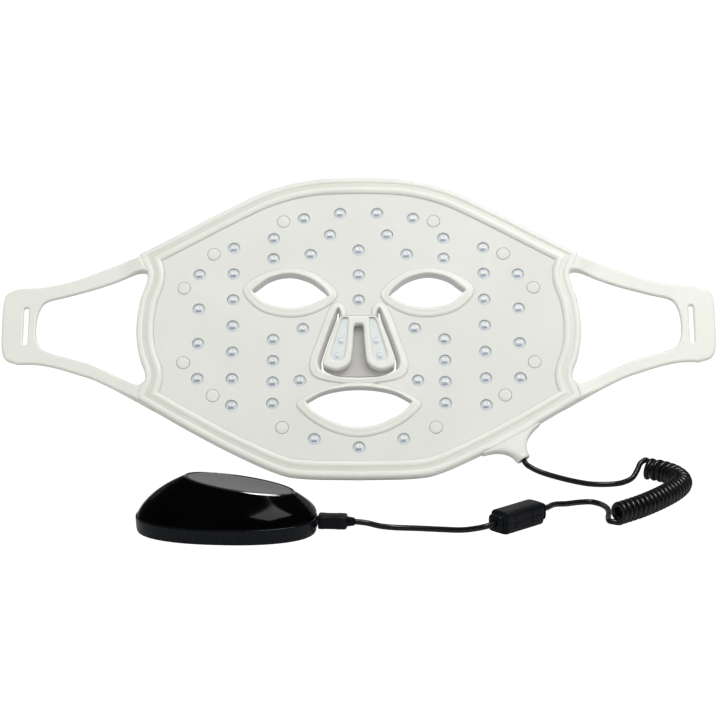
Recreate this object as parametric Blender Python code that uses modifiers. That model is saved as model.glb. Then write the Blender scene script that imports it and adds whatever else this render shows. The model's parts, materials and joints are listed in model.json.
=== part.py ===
"""LED face mask with a corded controller, as separate parts in one assembly.

Units are millimetres in the tables below and metres in the scene (MM converts).
The mask is drawn flat, in its own plane: u runs to the right, v runs up the mask
from the lowest point of its rim, and h rises from the outer skin towards the face.
The plane then leans back by LEAN. The controller and the cord lie on z = 0.
"""
import math

import bmesh
import bpy
from mathutils import Matrix, Vector

MM = 0.001

# --- driving dimensions, in mm and degrees ---------------------------------
LEAN = 34.0                      # how far the mask leans back from upright
FOOT_Y = 10.03                   # where the lowest rim of the mask stands
GAP = 0.3                        # clearance between pieces that touch

RIM_TOP = 7.0                    # height of the rims above the outer skin
FLOOR_TOP = 2.0                  # thickness of the tray's floor
RIM_WIDTH = 9.8                  # from the outer edge to the face panel
GROOVE = (3.2, 6.2)              # the seal's groove, measured in from the edge
GROOVE_FLOOR = 5.2
SEAL_TOP = 6.5
SHEET = (2.3, 2.7)               # the flexible circuit sheet's faces
RIBBON = (3.0, 3.3)              # the LED ribbons' faces
RIBBON_WIDTH = 3.0
PANEL = (3.6, 5.6)               # the face panel's faces
LED_RADIUS = 3.4
LED_TOP = 6.6
LED_SIDES = 8
WINDOW_RADIUS = 3.9
STUD_RADIUS = 3.7
STUD_TOP = 5.9
ARM = (2.0, 5.0)                 # the ear loops' faces
SPLIT_U = 132.0                  # where an ear loop starts to flex

# LED places: columns of equal pitch, then the ones that stand alone
OUTER_COLUMN = dict(u=72.3, v=91.9, pitch=16.2, count=7)
TEMPLE_COLUMN = dict(u=92.0, v=91.7, pitch=21.4, count=4)
CHEEK_COLUMN = dict(u=49.1, v=63.9, pitch=13.0, count=4)
CENTRE_COLUMN = dict(u=0.0, v=123.4, pitch=15.7, count=3)
FOREHEAD = [(10.8, 162.5), (31.8, 159.2), (49.3, 146.5), (49.3, 133.8), (27.8, 136.4), (16.6, 148.7)]
CHEEK_INNER = [(32.1, 90.1), (33.6, 58.3)]
CHIN = [(-25.2, 23.1), (0.0, 18.1), (25.2, 23.1)]
NOSE_LEDS = [(10.1, 82.4), (12.1, 73.3)]
STUDS = [(43.7, 157.3), (83.9, 136.6), (100.7, 115.3), (100.3, 69.3), (83.1, 49.2), (43.5, 29.9)]

CORD_RADIUS = 1.55
COIL_RADIUS = 6.3

# Controller
BODY_LENGTH = 95.6
BODY_WIDTH = 58.5
BODY_CENTRE = (-69.5, -94.3)     # measured from the mask's foot line
BODY_TURN = -5.0
BASE_HEIGHT = 8.8
FOOT_HEIGHT = 0.8
WALL = 2.0
KEY_LENGTH = 58.0
KEY_WIDTH = 29.0
KEY_CENTRE = (7.0, 1.5, 25.2)
KEY_LIP = 1.0                    # width of the dome's edge round the key
KEY_DEPTH = 1.6
SOCKET_Z = 6.1
PLUG_Z = 6.4
KEY_TILT = 8.0
KEY_TRAVEL = 0.5
SCREW_X = (-40.5, 29.0)
DOME_POWER = 1.9                 # how late the dome's side turns in
SECTION_POINTS = 28              # points round each section of the controller

# Ferrite clip
FERRITE_CENTRE = (83.3, -91.6)
FERRITE_TURN = 44.6
FERRITE_BODY = 28.0
FERRITE_LENGTH = 36.0
FERRITE_SIDE = 12.4
FERRITE_AXIS_Z = 6.2

# --- outlines of the mask, right half, in (u, v) ----------------------------
TOP_EDGE = [(0, 185.2), (27, 183.8), (53, 177.0), (80, 163.2), (105, 149.0), (127, 136.7)]
SIDE_EDGE = [(127, 136.7), (121.9, 123.5), (126, 107), (127.6, 89.6), (125.8, 75), (121.6, 60.5), (126, 47.4)]
BOTTOM_EDGE = [(126, 47.4), (99, 31.0), (73, 16.5), (47, 4.2), (31, 0.8), (0, 0)]
EYE_UPPER = [(61.5, 113.8), (51.7, 121.3), (40, 124.1), (28.6, 121.2), (20.5, 115.2), (17.2, 110.2)]
EYE_LOWER = [(17.2, 110.2), (28.6, 104.7), (40, 102.9), (51.7, 105.2), (58, 109.4), (61.5, 113.8)]
EYE_RIM = [(66.9, 114), (56, 124), (40, 127.7), (24, 123.5), (12.3, 110.8), (24, 100.2), (40, 97), (57, 101.5)]
MOUTH_UPPER = [(30, 45.6), (20.6, 50.8), (10.2, 53.4), (0, 54.1)]
MOUTH_LOWER = [(0, 30.2), (10.5, 31.8), (21.5, 36.9), (27, 41), (30, 45.6)]
MOUTH_RIM_UPPER = [(0, 57.4), (16, 54.6), (27.8, 50), (35.4, 44.5)]
MOUTH_RIM_LOWER = [(35.4, 44.5), (33, 39.5), (24.5, 32.3), (14, 26.9), (0, 24.1)]
NOSE_HINGE_V = 98.0
NOSE_SLOT_TOP = [(10.0, NOSE_HINGE_V), (10.6, 101.2), (11.7, 102.6)]
NOSE_SIDE = [(12.7, 101.6), (15.2, 95.4), (18.1, 87.3), (21, 78.6), (23.1, 71.8)]
NOSE_FOOT = [(23.1, 71.8), (23.3, 67.5), (20.6, 63.6), (10.6, 60.2), (0, 59.3)]
NOSE_RIM_SIDE = [(6.9, 96.8), (8.2, 103.6), (12, 106.2), (16, 104), (20, 94.5), (24.2, 82), (28.2, 70)]
NOSE_RIM_FOOT = [(28.2, 70), (27.4, 63), (22.5, 59), (10, 56.6), (0, 55.8)]
FLAP_SIDE = [(10.1, 97.5), (12.9, 93.6), (16.2, 84.2), (18.6, 76.8), (20.5, 70.0)]
FLAP_FOOT = [(20.5, 70.0), (20.2, 66.0), (16.4, 63.6), (10.6, 61.9), (0, 61.1)]
ARM_OUTER = [(113, 141), (132.3, 133.6), (149.7, 126.4), (161.3, 121.4), (172.9, 117.8), (184.5, 115.7), (195, 115.3)]
TAB_EDGE = [(195, 115.3), (202.2, 112.4), (204.6, 106), (204.9, 91), (204.4, 77), (201.8, 70.3), (195, 67.4)]
ARM_INNER = [(195, 67.4), (184.5, 67.4), (173, 65.4), (161.3, 62.2), (149.7, 58.5), (132.3, 50), (113, 39)]
LOOP_UPPER = [(121.9, 121), (122.5, 125.3), (127.7, 125.6), (138, 120.7), (149.7, 116.1), (167.1, 110.5), (178.5, 107.2)]
LOOP_END = [(178.5, 107.2), (182.6, 103.4), (184.8, 95.7), (184.9, 85), (182.2, 78.2), (175.5, 74.4)]
LOOP_LOWER = [(175.5, 74.4), (155.5, 69.1), (143.9, 64.2), (132.3, 58.9), (125.9, 56.3), (121.8, 59)]
SLOT = dict(u=191.2, v=91.3, width=2.6, length=23.0)

# --- routes that were laid by hand, in mm from the mask's foot line ---------
LEAD_ROUTE = [
    (95.9, 0.2, 6.9), (99.6, -2.4, 4.2), (104.2, -4.6, 2.9), (110.5, -7.8, 2.0), (118.5, -11.2, 1.7), (127.2, -13.6, 1.6),
    (134.0, -13.2, 1.6), (140.9, -9.9, 1.7), (146.9, -6.0, 3.0), (151.5, -3.2, 6.0), (154.6, -1.6, 9.4),
]
COIL_ROUTE = [
    (160.6, 2.2), (167.3, -2.0), (173.0, -8.6), (176.8, -18.0), (177.2, -29.0), (172.6, -41.0),
    (163.4, -56.0), (150.8, -72.4), (136.2, -87.4),
]
RUN_ROUTE = [
    (134.5, -89.2, 1.6), (131.6, -86.0, 1.6), (130.6, -81.0, 1.6), (131.4, -72.0, 1.6), (132.9, -60.0, 1.6),
    (133.0, -50.0, 1.6), (131.0, -42.6, 1.6), (126.0, -39.6, 1.8), (119.0, -43.6, 2.4), (111.5, -54.6, 4.0),
    (104.6, -66.2, 5.4), (98.5, -76.4, 6.2), (83.3, -91.6, 6.2), (67.6, -106.6, 6.0), (60.6, -106.0, 4.2),
    (53.0, -102.0, 2.2), (43.0, -98.8, 1.6), (31.0, -96.8, 1.6), (19.0, -96.6, 2.0), (11.0, -98.4, 3.4),
    (4.0, -100.1, 5.6), (-1.95, -100.2, 6.4),
]

ROOT = bpy.data.collections.new("led_face_mask")
TOOLS = bpy.data.collections.new("cutters")


# --- small helpers -----------------------------------------------------------
def smooth(points, steps=3):
    """Points on a Catmull-Rom curve through the given ones, the ends included."""
    pts = [Vector(p) for p in points]
    pts = [2 * pts[0] - pts[1]] + pts + [2 * pts[-1] - pts[-2]]
    out = []
    for a, b, c, d in zip(pts, pts[1:], pts[2:], pts[3:]):
        for k in range(steps):
            t = k / steps
            out.append(0.5 * (2 * b + (c - a) * t + (2 * a - 5 * b + 4 * c - d) * t**2 + (3 * b - a - 3 * c + d) * t**3))
    return [tuple(p) for p in out] + [tuple(pts[-2])]


def loop_of(*runs, steps=3):
    """One closed outline from smooth runs that meet in sharp corners."""
    out = []
    for run in runs:
        out += smooth(run, steps)[:-1]
    return out


def round_loop(points, steps=3):
    """A closed smooth outline through the points."""
    n = len(points)
    ring = [points[(i - 1) % n] for i in range(n + 3)]
    return smooth(ring, steps)[steps:-steps - 1]


def mirrored(points):
    """The outline's left-hand copy."""
    return [(-u, v) for u, v in reversed(points)]


def both_halves(right):
    """A closed outline from its right half, which runs from u = 0 to u = 0."""
    return right + [(-u, v) for u, v in reversed(right[1:-1])]


def half_outline(*runs, steps=3):
    """The right half of a symmetric outline, with both points on u = 0."""
    return loop_of(*runs, steps=steps) + [runs[-1][-1]]


def area(points):
    return 0.5 * sum(a[0] * b[1] - b[0] * a[1] for a, b in zip(points, points[1:] + points[:1]))


def gap_to(place, points):
    """The distance from a place to the nearest side of an outline."""
    best = math.inf
    for a, b in zip(points, points[1:] + points[:1]):
        start, side = Vector(a), Vector(b) - Vector(a)
        t = min(1.0, max(0.0, (place - start).dot(side) / max(side.length_squared, 1e-12)))
        best = min(best, (place - start - t * side).length)
    return best


def grown(points, distance):
    """The outline moved outwards by a distance (inwards if negative), with mitred corners."""
    side = math.copysign(1, area(points)) * distance
    out = []
    n = len(points)
    for i in range(n):
        before = (Vector(points[i]) - Vector(points[i - 1])).normalized()
        after = (Vector(points[(i + 1) % n]) - Vector(points[i])).normalized()
        bisector = Vector((before.y + after.y, -before.x - after.x))
        place = Vector(points[i]) + bisector * 2 * side / max(bisector.length_squared, 1.0)
        if gap_to(place, points) >= 0.97 * abs(distance):
            out.append(tuple(place))
    return out


def circle(u, v, radius, sides):
    turns = [2 * math.pi * (k + 0.5) / sides for k in range(sides)]
    return [(u + radius * math.cos(t), v + radius * math.sin(t)) for t in turns]


def column(u, v, pitch, count):
    """LED places down one column, from the top."""
    return [(u, v + pitch * ((count - 1) / 2 - k)) for k in range(count)]


def material(name, colour, roughness, metallic=0.0):
    m = bpy.data.materials.new(name)
    m.use_nodes = True
    shader = m.node_tree.nodes["Principled BSDF"]
    shader.inputs["Base Color"].default_value = (*colour, 1)
    shader.inputs["Roughness"].default_value = roughness
    shader.inputs["Metallic"].default_value = metallic
    return m


SILICONE = material("silicone", (0.76, 0.77, 0.71), 0.5)
ADHESIVE = material("adhesive", (0.71, 0.70, 0.60), 0.4)
CLEAR = material("clear_silicone", (0.70, 0.74, 0.77), 0.2)
POLYIMIDE = material("circuit_film", (0.80, 0.78, 0.70), 0.5)
BLACK_GLOSS = material("gloss_black", (0.006, 0.007, 0.008), 0.08)
BLACK_SATIN = material("satin_grey", (0.05, 0.052, 0.055), 0.45)
BLACK_MATTE = material("matte_black", (0.01, 0.011, 0.012), 0.6)
JACKET = material("cord_jacket", (0.012, 0.013, 0.014), 0.5)
FERRITE = material("ferrite", (0.03, 0.03, 0.032), 0.7)
STEEL = material("plated_steel", (0.72, 0.66, 0.5), 0.3, 1.0)
BOARD = material("circuit_board", (0.03, 0.16, 0.07), 0.5)
CELL = material("battery_wrap", (0.12, 0.22, 0.42), 0.4)
RUBBER = material("foot_rubber", (0.02, 0.02, 0.02), 0.8)


def empty(name, matrix):
    e = bpy.data.objects.new(name, None)
    ROOT.objects.link(e)
    e.matrix_world = matrix
    return e


def finish(obj, name, finish_material, frame):
    """Names a piece, puts it in the collection and on the frame that it is drawn in."""
    for c in list(obj.users_collection):
        c.objects.unlink(obj)
    obj.name = obj.data.name = name
    if finish_material is None:
        TOOLS.objects.link(obj)
        obj.hide_render = True
        obj.display_type = "WIRE"
    else:
        ROOT.objects.link(obj)
        obj.data.materials.append(finish_material)
    if frame is not None:
        obj.parent = frame
    return obj


def as_mesh(curve_obj):
    """The welded mesh of a filled curve, which replaces it."""
    bpy.context.collection.objects.link(curve_obj)
    graph = bpy.context.evaluated_depsgraph_get()
    mesh = bpy.data.meshes.new_from_object(curve_obj.evaluated_get(graph))
    obj = bpy.data.objects.new(curve_obj.name, mesh)
    obj.matrix_world = curve_obj.matrix_world
    bpy.data.objects.remove(curve_obj)
    bm = bmesh.new()
    bm.from_mesh(mesh)
    bmesh.ops.remove_doubles(bm, verts=bm.verts, dist=0.00001)
    bmesh.ops.dissolve_degenerate(bm, edges=bm.edges, dist=0.000001)
    bmesh.ops.recalc_face_normals(bm, faces=bm.faces)
    bm.to_mesh(mesh)
    bm.free()
    return obj


def plate(name, outlines, low, high, finish_material, frame):
    """A flat piece between two heights: the first outline is its edge, the rest are holes."""
    curve = bpy.data.curves.new(name, "CURVE")
    curve.dimensions = "2D"
    curve.fill_mode = "BOTH"
    curve.extrude = (high - low) / 2 * MM
    for outline in outlines:
        spline = curve.splines.new("POLY")
        spline.points.add(len(outline) - 1)
        for point, (u, v) in zip(spline.points, outline):
            point.co = (u * MM, v * MM, 0, 1)
        spline.use_cyclic_u = True
    obj = as_mesh(bpy.data.objects.new(name, curve))
    obj.data.transform(Matrix.Translation((0, 0, (low + high) / 2 * MM)))
    return finish(obj, name, finish_material, frame)


def primitive(name, finish_material, frame, matrix, **shape):
    """A box (size=) or a round bar (radius=, depth=, sides=), placed by a matrix."""
    bm = bmesh.new()
    if "size" in shape:
        bmesh.ops.create_cube(bm, size=1)
        bmesh.ops.scale(bm, vec=Vector(shape["size"]) * MM, verts=bm.verts)
    else:
        radius = shape["radius"] * MM
        bmesh.ops.create_cone(bm, cap_ends=True, segments=shape.get("sides", 16), radius1=radius,
                              radius2=shape.get("top_radius", shape["radius"]) * MM, depth=shape["depth"] * MM)
    mesh = bpy.data.meshes.new(name)
    bm.to_mesh(mesh)
    bm.free()
    mesh.transform(matrix)
    return finish(bpy.data.objects.new(name, mesh), name, finish_material, frame)


def at(x, y, z, turn=None, axis="Z"):
    """A place in millimetres, with a turn in degrees about one axis."""
    spin = Matrix.Rotation(math.radians(turn), 4, axis) if turn else Matrix()
    return Matrix.Translation(Vector((x, y, z)) * MM) @ spin


def combine(target, tool, operation="DIFFERENCE"):
    """Cuts a tool out of the target, or joins it on."""
    boolean = target.modifiers.new(tool.name, "BOOLEAN")
    boolean.operation = operation
    boolean.solver = "EXACT"
    boolean.object = tool
    return target


def loft(name, rings, finish_material, frame, closed=False):
    """A skin over rings of equal count, capped at both ends or closed on itself."""
    bm = bmesh.new()
    levels = [[bm.verts.new(Vector(p) * MM) for p in ring] for ring in rings]
    pairs = list(zip(levels, levels[1:] + (levels[:1] if closed else [])))
    for lower, upper in pairs:
        for i in range(len(lower)):
            j = (i + 1) % len(lower)
            bm.faces.new((lower[i], lower[j], upper[j], upper[i]))
    if not closed:
        bm.faces.new(list(reversed(levels[0])))
        bm.faces.new(levels[-1])
    bmesh.ops.recalc_face_normals(bm, faces=bm.faces)
    mesh = bpy.data.meshes.new(name)
    bm.to_mesh(mesh)
    bm.free()
    return finish(bpy.data.objects.new(name, mesh), name, finish_material, frame)


def tube(name, route, radius, finish_material, spacing, resolution=2):
    """A round cord along a smooth route, with a point about every spacing."""
    fine = [Vector(p) for p in smooth(route, 24)]
    kept, run = [fine[0]], 0.0
    total = sum((b - a).length for a, b in zip(fine, fine[1:]))
    step = total / round(total / spacing)
    for a, b in zip(fine, fine[1:]):
        run += (b - a).length
        if run >= step * len(kept) - 1e-6 and total - run > step * 0.5:
            kept.append(b)
    kept.append(fine[-1])
    curve = bpy.data.curves.new(name, "CURVE")
    curve.dimensions = "3D"
    curve.bevel_depth = radius * MM
    curve.bevel_resolution = resolution
    curve.use_fill_caps = True
    spline = curve.splines.new("POLY")
    spline.points.add(len(kept) - 1)
    for point, place in zip(spline.points, kept):
        point.co = (*(place * MM), 1)
    obj = bpy.data.objects.new(name, curve)
    return finish(obj, name, finish_material, None)


# --- frames that the pieces are drawn in -------------------------------------
def build():
    mask = empty("mask_frame", at(0, FOOT_Y, 0, 90 - LEAN, "X"))
    body = empty("controller_frame", at(BODY_CENTRE[0], FOOT_Y + BODY_CENTRE[1], 0, BODY_TURN))
    clip = empty("ferrite_frame", at(FERRITE_CENTRE[0], FOOT_Y + FERRITE_CENTRE[1], 0, FERRITE_TURN))
    build_shells(mask)
    build_nose(mask)
    build_lights(mask)
    build_cable_exit(mask)
    build_cord()
    build_ferrite(clip)
    build_controller(body)
    build_plug(body)


# --- the mask's silicone shells ----------------------------------------------
def mask_outline():
    return both_halves(half_outline(TOP_EDGE, SIDE_EDGE, BOTTOM_EDGE))


def nose_outline():
    """The opening for the nose: a slot's rounded top, its long side, the foot."""
    half = [(0, NOSE_HINGE_V)] + NOSE_SLOT_TOP + loop_of(NOSE_SIDE, NOSE_FOOT, steps=2) + [NOSE_FOOT[-1]]
    return both_halves(half)


def rim_outlines(extra):
    """The outer lines of the rims round the eyes, mouth and nose."""
    eye = round_loop(EYE_RIM, 2)
    mouth = both_halves(half_outline(MOUTH_RIM_UPPER, MOUTH_RIM_LOWER, steps=2))
    nose = both_halves([(0, NOSE_RIM_SIDE[0][1])] + loop_of(NOSE_RIM_SIDE, NOSE_RIM_FOOT, steps=2) + [NOSE_RIM_FOOT[-1]])
    return [grown(o, extra) for o in (eye, mirrored(eye), mouth, nose)]


def keep_off_rims(target, extra, mask):
    """Cuts the rims, and the way to the nose flap, out of a sheet that lies between them."""
    for k, outline in enumerate(rim_outlines(extra) + [grown(nose_outline(), extra)]):
        combine(target, plate(f"{target.name}_rim_{k}", [outline], -1, RIM_TOP + 2, None, mask))
    return target


def ear_band(side):
    """Edge and opening of one ear loop; side is 1 for the right and -1 for the left."""
    edge = loop_of(ARM_OUTER, TAB_EDGE, ARM_INNER, steps=2) + [ARM_INNER[-1]]
    hole = loop_of(LOOP_UPPER, LOOP_END, LOOP_LOWER, steps=2) + [LOOP_LOWER[-1]]
    return [edge, hole] if side > 0 else [mirrored(edge), mirrored(hole)]


def build_shells(mask):
    outline = mask_outline()
    eye = loop_of(EYE_UPPER, EYE_LOWER)
    mouth = both_halves([(0, 54.1)] + loop_of(list(reversed(MOUTH_UPPER)))[1:] + list(reversed(loop_of(MOUTH_LOWER)[1:])) + [(0, 30.2)])
    tray = plate("outer_tray", [outline, eye, mirrored(eye), mouth, nose_outline()], 0, RIM_TOP, SILICONE, mask)
    for side, name in ((1, "right"), (-1, "left")):
        stub = plate(f"stub_{name}", ear_band(side), *ARM, None, mask)
        keep = primitive(f"stub_keep_{name}", None, mask, at(side * (SPLIT_U - GAP / 2 - 20), 90, 3), size=(40, 120, 20))
        combine(tray, combine(stub, keep, "INTERSECT"), "UNION")
        loop = plate(f"ear_loop_{name}", ear_band(side), *ARM, SILICONE, mask)
        far = primitive(f"loop_keep_{name}", None, mask, at(side * (SPLIT_U + GAP / 2 + 50), 90, 3), size=(100, 160, 20))
        combine(loop, far, "INTERSECT")
        end = SLOT["length"] / 2 - SLOT["width"] / 2
        slot = [(side * SLOT["u"] + du, SLOT["v"] + dv) for du, dv in slot_outline(SLOT["width"] / 2, end)]
        combine(loop, plate(f"slot_{name}", [slot], ARM[0] - 1, ARM[1] + 1, None, mask))
    panel_edge = grown(outline, -RIM_WIDTH)
    recess = plate("recess", [panel_edge], FLOOR_TOP, RIM_TOP + 1, None, mask)
    for k, rim in enumerate(rim_outlines(0)):
        combine(recess, plate(f"recess_rim_{k}", [rim], -1, RIM_TOP + 2, None, mask))
    combine(tray, recess)
    groove = plate("groove", [grown(outline, -GROOVE[0]), grown(outline, -GROOVE[1])], GROOVE_FLOOR, RIM_TOP + 1, None, mask)
    combine(tray, groove)
    seal = [grown(outline, -GROOVE[0] - GAP), grown(outline, -GROOVE[1] + GAP)]
    plate("perimeter_seal", seal, GROOVE_FLOOR + GAP, SEAL_TOP, ADHESIVE, mask)
    windows = [circle(u, v, WINDOW_RADIUS, LED_SIDES) for u, v in all_face_leds()]
    studs = [(s * u, v) for u, v in STUDS for s in (1, -1)]
    stud_holes = [circle(u, v, STUD_RADIUS + GAP, 10) for u, v in studs]
    panel = plate("face_panel", [grown(panel_edge, -GAP)] + windows + stud_holes, *PANEL, SILICONE, mask)
    keep_off_rims(panel, GAP, mask)
    sheet = plate("circuit_sheet", [grown(panel_edge, -1.2)] + stud_holes, *SHEET, POLYIMIDE, mask)
    keep_off_rims(sheet, 0.9, mask)
    for k, (u, v) in enumerate(studs):
        plate(f"bonding_stud_{k + 1:02d}", [circle(u, v, STUD_RADIUS, 10)], FLOOR_TOP + GAP, STUD_TOP, CLEAR, mask)


def slot_outline(half_width, end):
    """A straight slot with round ends, along v."""
    turns = [math.pi * k / 4 for k in range(5)]
    top = [(half_width * math.cos(t), end + half_width * math.sin(t)) for t in turns]
    return top + [(-u, -v) for u, v in top]


# --- the nose flap, hinged along its top --------------------------------------
def flap_outline():
    return both_halves([(0, FLAP_SIDE[0][1])] + loop_of(FLAP_SIDE, FLAP_FOOT, steps=2) + [FLAP_FOOT[-1]])


def leg_pocket():
    """The recess in the flap's right leg that holds its insert."""
    return [(7.2, 93.0), (9.3, 93.0), (12.2, 87.0), (15.6, 77), (17.4, 69.2), (16.2, 67.2), (8.4, 66.4), (7.6, 68.0)]


def channel_outline():
    """The open channel down the middle of the flap, flared at its foot."""
    half = [(0, 92.4), (2.0, 92.4), (2.7, 91.4), (3.4, 80), (4.2, 69.6), (6.0, 66.0), (9.4, 63.2), (9.8, 58), (0, 58)]
    return both_halves(half)


def build_nose(mask):
    flap = plate("nose_flap", [flap_outline()], 0, RIM_TOP, SILICONE, mask)
    combine(flap, plate("channel", [channel_outline()], 1.6, RIM_TOP + 1, None, mask))
    for side, name in ((1, "right"), (-1, "left")):
        pocket = leg_pocket() if side > 0 else mirrored(leg_pocket())
        combine(flap, plate(f"pocket_{name}", [pocket], FLOOR_TOP, RIM_TOP + 1, None, mask))
        windows = [circle(side * u, v, 2.7, LED_SIDES) for u, v in NOSE_LEDS]
        plate(f"nose_insert_{name}", [grown(pocket, -GAP)] + windows, *PANEL, CLEAR, mask)


# --- LED ribbons: each is a thin strip with its LEDs standing on it -----------
def mirrored_places(places):
    return [(-u, v) for u, v in places]


def ribbon_groups():
    """Every LED of the mask, by the ribbon that carries it."""
    cheek = column(**CHEEK_COLUMN)
    right = {
        "forehead": FOREHEAD,
        "outer": column(**OUTER_COLUMN),
        "temple": column(**TEMPLE_COLUMN),
        "cheek": [CHEEK_INNER[0]] + cheek[:3] + [CHEEK_INNER[1]] + cheek[3:],
        "nose": NOSE_LEDS,
    }
    groups = {f"{name}_right": places for name, places in right.items()}
    groups.update({f"{name}_left": mirrored_places(places) for name, places in right.items()})
    groups["centre"] = column(**CENTRE_COLUMN)
    groups["chin"] = CHIN
    return groups


def all_face_leds():
    groups = ribbon_groups()
    return [place for name, places in groups.items() if not name.startswith("nose") for place in places]


def ribbon_outline(places, width):
    """Both edges of a strip of one width along the places."""
    pts = [Vector(p) for p in places]
    left, right = [], []
    for i, p in enumerate(pts):
        before = (p - pts[i - 1]).normalized() if i else (pts[1] - p).normalized()
        after = (pts[i + 1] - p).normalized() if i + 1 < len(pts) else before
        across = Vector((-before.y - after.y, before.x + after.x))
        across *= width / max(across.length_squared, 1.0)
        reach = (0 if 0 < i < len(pts) - 1 else 2.0) * (before if i else -before)
        left.append(tuple(p + reach + across))
        right.append(tuple(p + reach - across))
    return left + list(reversed(right))


def build_lights(mask):
    for name, places in ribbon_groups().items():
        nose = name.startswith("nose")
        width = 2.4 if nose else RIBBON_WIDTH
        ribbon = plate(f"led_strip_{name}", [ribbon_outline(places, width)], *RIBBON, CLEAR, mask)
        for k, (u, v) in enumerate(places):
            puck = circle(u, v, 2.3 if nose else LED_RADIUS, LED_SIDES)
            tool = plate(f"puck_{name}_{k}", [puck], RIBBON[0] + 0.1, LED_TOP, None, mask)
            combine(ribbon, tool, "UNION")


# --- where the cord leaves the mask -------------------------------------------
EXIT_TIP = (92.6, 11.1)          # centre of the boot's tip, in (u, v)
EXIT_H = 3.6
EXIT_AIM = math.radians(-60.9)   # the way the cord leaves, in the mask's plane
BOOT_SECTIONS = [                # distance back from the tip, half width, half depth
    (0, 4.3, 3.9), (3, 4.5, 3.8), (6, 5.6, 3.7), (9, 8.2, 3.55), (11.5, 12.4, 3.45), (13.6, 19.0, 3.35),
]
BOOT_BORE = 2.9
CORE_RADIUS = 2.6
CORE_NECK = 1.6
NECK_BORE = 1.95


def along_exit(back, across=0.0, h=EXIT_H):
    """A point of the cable exit: back from the tip, across the axis, at a height."""
    aim = Vector((math.cos(EXIT_AIM), math.sin(EXIT_AIM)))
    side = Vector((-aim.y, aim.x))
    place = Vector(EXIT_TIP) - back * aim + across * side
    return (place.x, place.y, h)


def exit_bar(name, start, length, radius, finish_material, mask, sides=12):
    """A round bar on the cable exit's axis, from start backwards."""
    turn = Matrix.Rotation(EXIT_AIM, 4, "Z") @ Matrix.Rotation(math.pi / 2, 4, "Y")
    place = Matrix.Translation(Vector(along_exit(start + length / 2)) * MM) @ turn
    return primitive(name, finish_material, mask, place, radius=radius, depth=length, sides=sides)


def build_cable_exit(mask):
    turns = [2 * math.pi * k / 20 for k in range(20)]
    rings = [[along_exit(back, a * math.cos(t), EXIT_H + b * math.sin(t)) for t in turns] for back, a, b in BOOT_SECTIONS]
    boot = loft("cable_boot", rings, SILICONE, mask)
    combine(boot, exit_bar("boot_bore", -1, 16, BOOT_BORE, None, mask))
    core = exit_bar("cable_core", 0.4, 12.8, CORE_RADIUS, JACKET, mask)
    combine(core, exit_bar("core_neck", 12.9, 8.6, CORE_NECK, None, mask, 10), "UNION")
    combine(bpy.data.objects["outer_tray"], exit_bar("neck_bore", 13, 12, NECK_BORE, None, mask, 10))


# --- the free cord: a lead, a sprung coil and a run to the plug ---------------
def floor_point(point):
    """A route's point, moved from the mask's foot line to the assembly's origin."""
    return (point[0], point[1] + FOOT_Y, *point[2:])


def build_cord():
    lean = math.radians(LEAN)
    u, v, h = along_exit(-0.1)
    start = (u, v * math.sin(lean) - h * math.cos(lean), v * math.cos(lean) + h * math.sin(lean))
    lead = [floor_point(p) for p in [start] + LEAD_ROUTE]
    tube("cord_lead", lead, CORD_RADIUS, JACKET, 6.5)
    coil = [floor_point((x, y, COIL_RADIUS + 0.1)) for x, y in COIL_ROUTE]
    tube("cord_coil", coil, COIL_RADIUS, JACKET, 6.0, 4)
    tube("cord_run", [floor_point(p) for p in RUN_ROUTE], CORD_RADIUS, JACKET, 7.0)


# --- the two-part ferrite clip -------------------------------------------------
def build_ferrite(clip):
    core_radius, core_length, bore = 4.9, 23.0, 2.1
    end_side = FERRITE_SIDE - 3.0
    for name, sign in (("base", -1), ("cover", 1)):
        height = FERRITE_SIDE / 2 - GAP / 2
        middle = FERRITE_AXIS_Z + sign * (GAP / 2 + height / 2)
        shell = primitive(f"ferrite_{name}", BLACK_MATTE, clip, at(0, 0, middle), size=(FERRITE_BODY, FERRITE_SIDE, height))
        end_height = end_side / 2 - GAP / 2
        place = at(0, 0, FERRITE_AXIS_Z + sign * (GAP / 2 + end_height / 2))
        ends = primitive(f"clip_ends_{name}", None, clip, place, size=(FERRITE_LENGTH, end_side, end_height))
        combine(shell, ends, "UNION")
        across = Matrix.Rotation(math.pi / 2, 4, "Y")
        pocket = primitive(f"clip_pocket_{name}", None, clip, at(0, 0, FERRITE_AXIS_Z) @ across,
                           radius=core_radius, depth=core_length, sides=16)
        through = primitive(f"clip_bore_{name}", None, clip, at(0, 0, FERRITE_AXIS_Z) @ across,
                            radius=bore, depth=FERRITE_LENGTH + 4, sides=12)
        combine(combine(shell, pocket), through)
        core = primitive(f"ferrite_core_{name}", FERRITE, clip, at(0, 0, FERRITE_AXIS_Z) @ across,
                         radius=core_radius - GAP, depth=core_length - 2 * GAP, sides=16)
        half = primitive(f"core_half_{name}", None, clip, at(0, 0, FERRITE_AXIS_Z + sign * (10 + GAP / 2)), size=(60, 30, 20))
        combine(core, half, "INTERSECT")
        combine(core, through)


# --- the controller ------------------------------------------------------------
def oval(length, width, x=0.0, y=0.0, z=0.0, tilt=0.0):
    """An oval section, level or tilted so that its right end is lower."""
    slope = math.tan(math.radians(tilt))
    ring = []
    for k in range(SECTION_POINTS):
        t = 2 * math.pi * k / SECTION_POINTS
        dx = length / 2 * math.cos(t)
        ring.append((x + dx, y + width / 2 * math.sin(t), z - slope * dx))
    return ring


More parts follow.
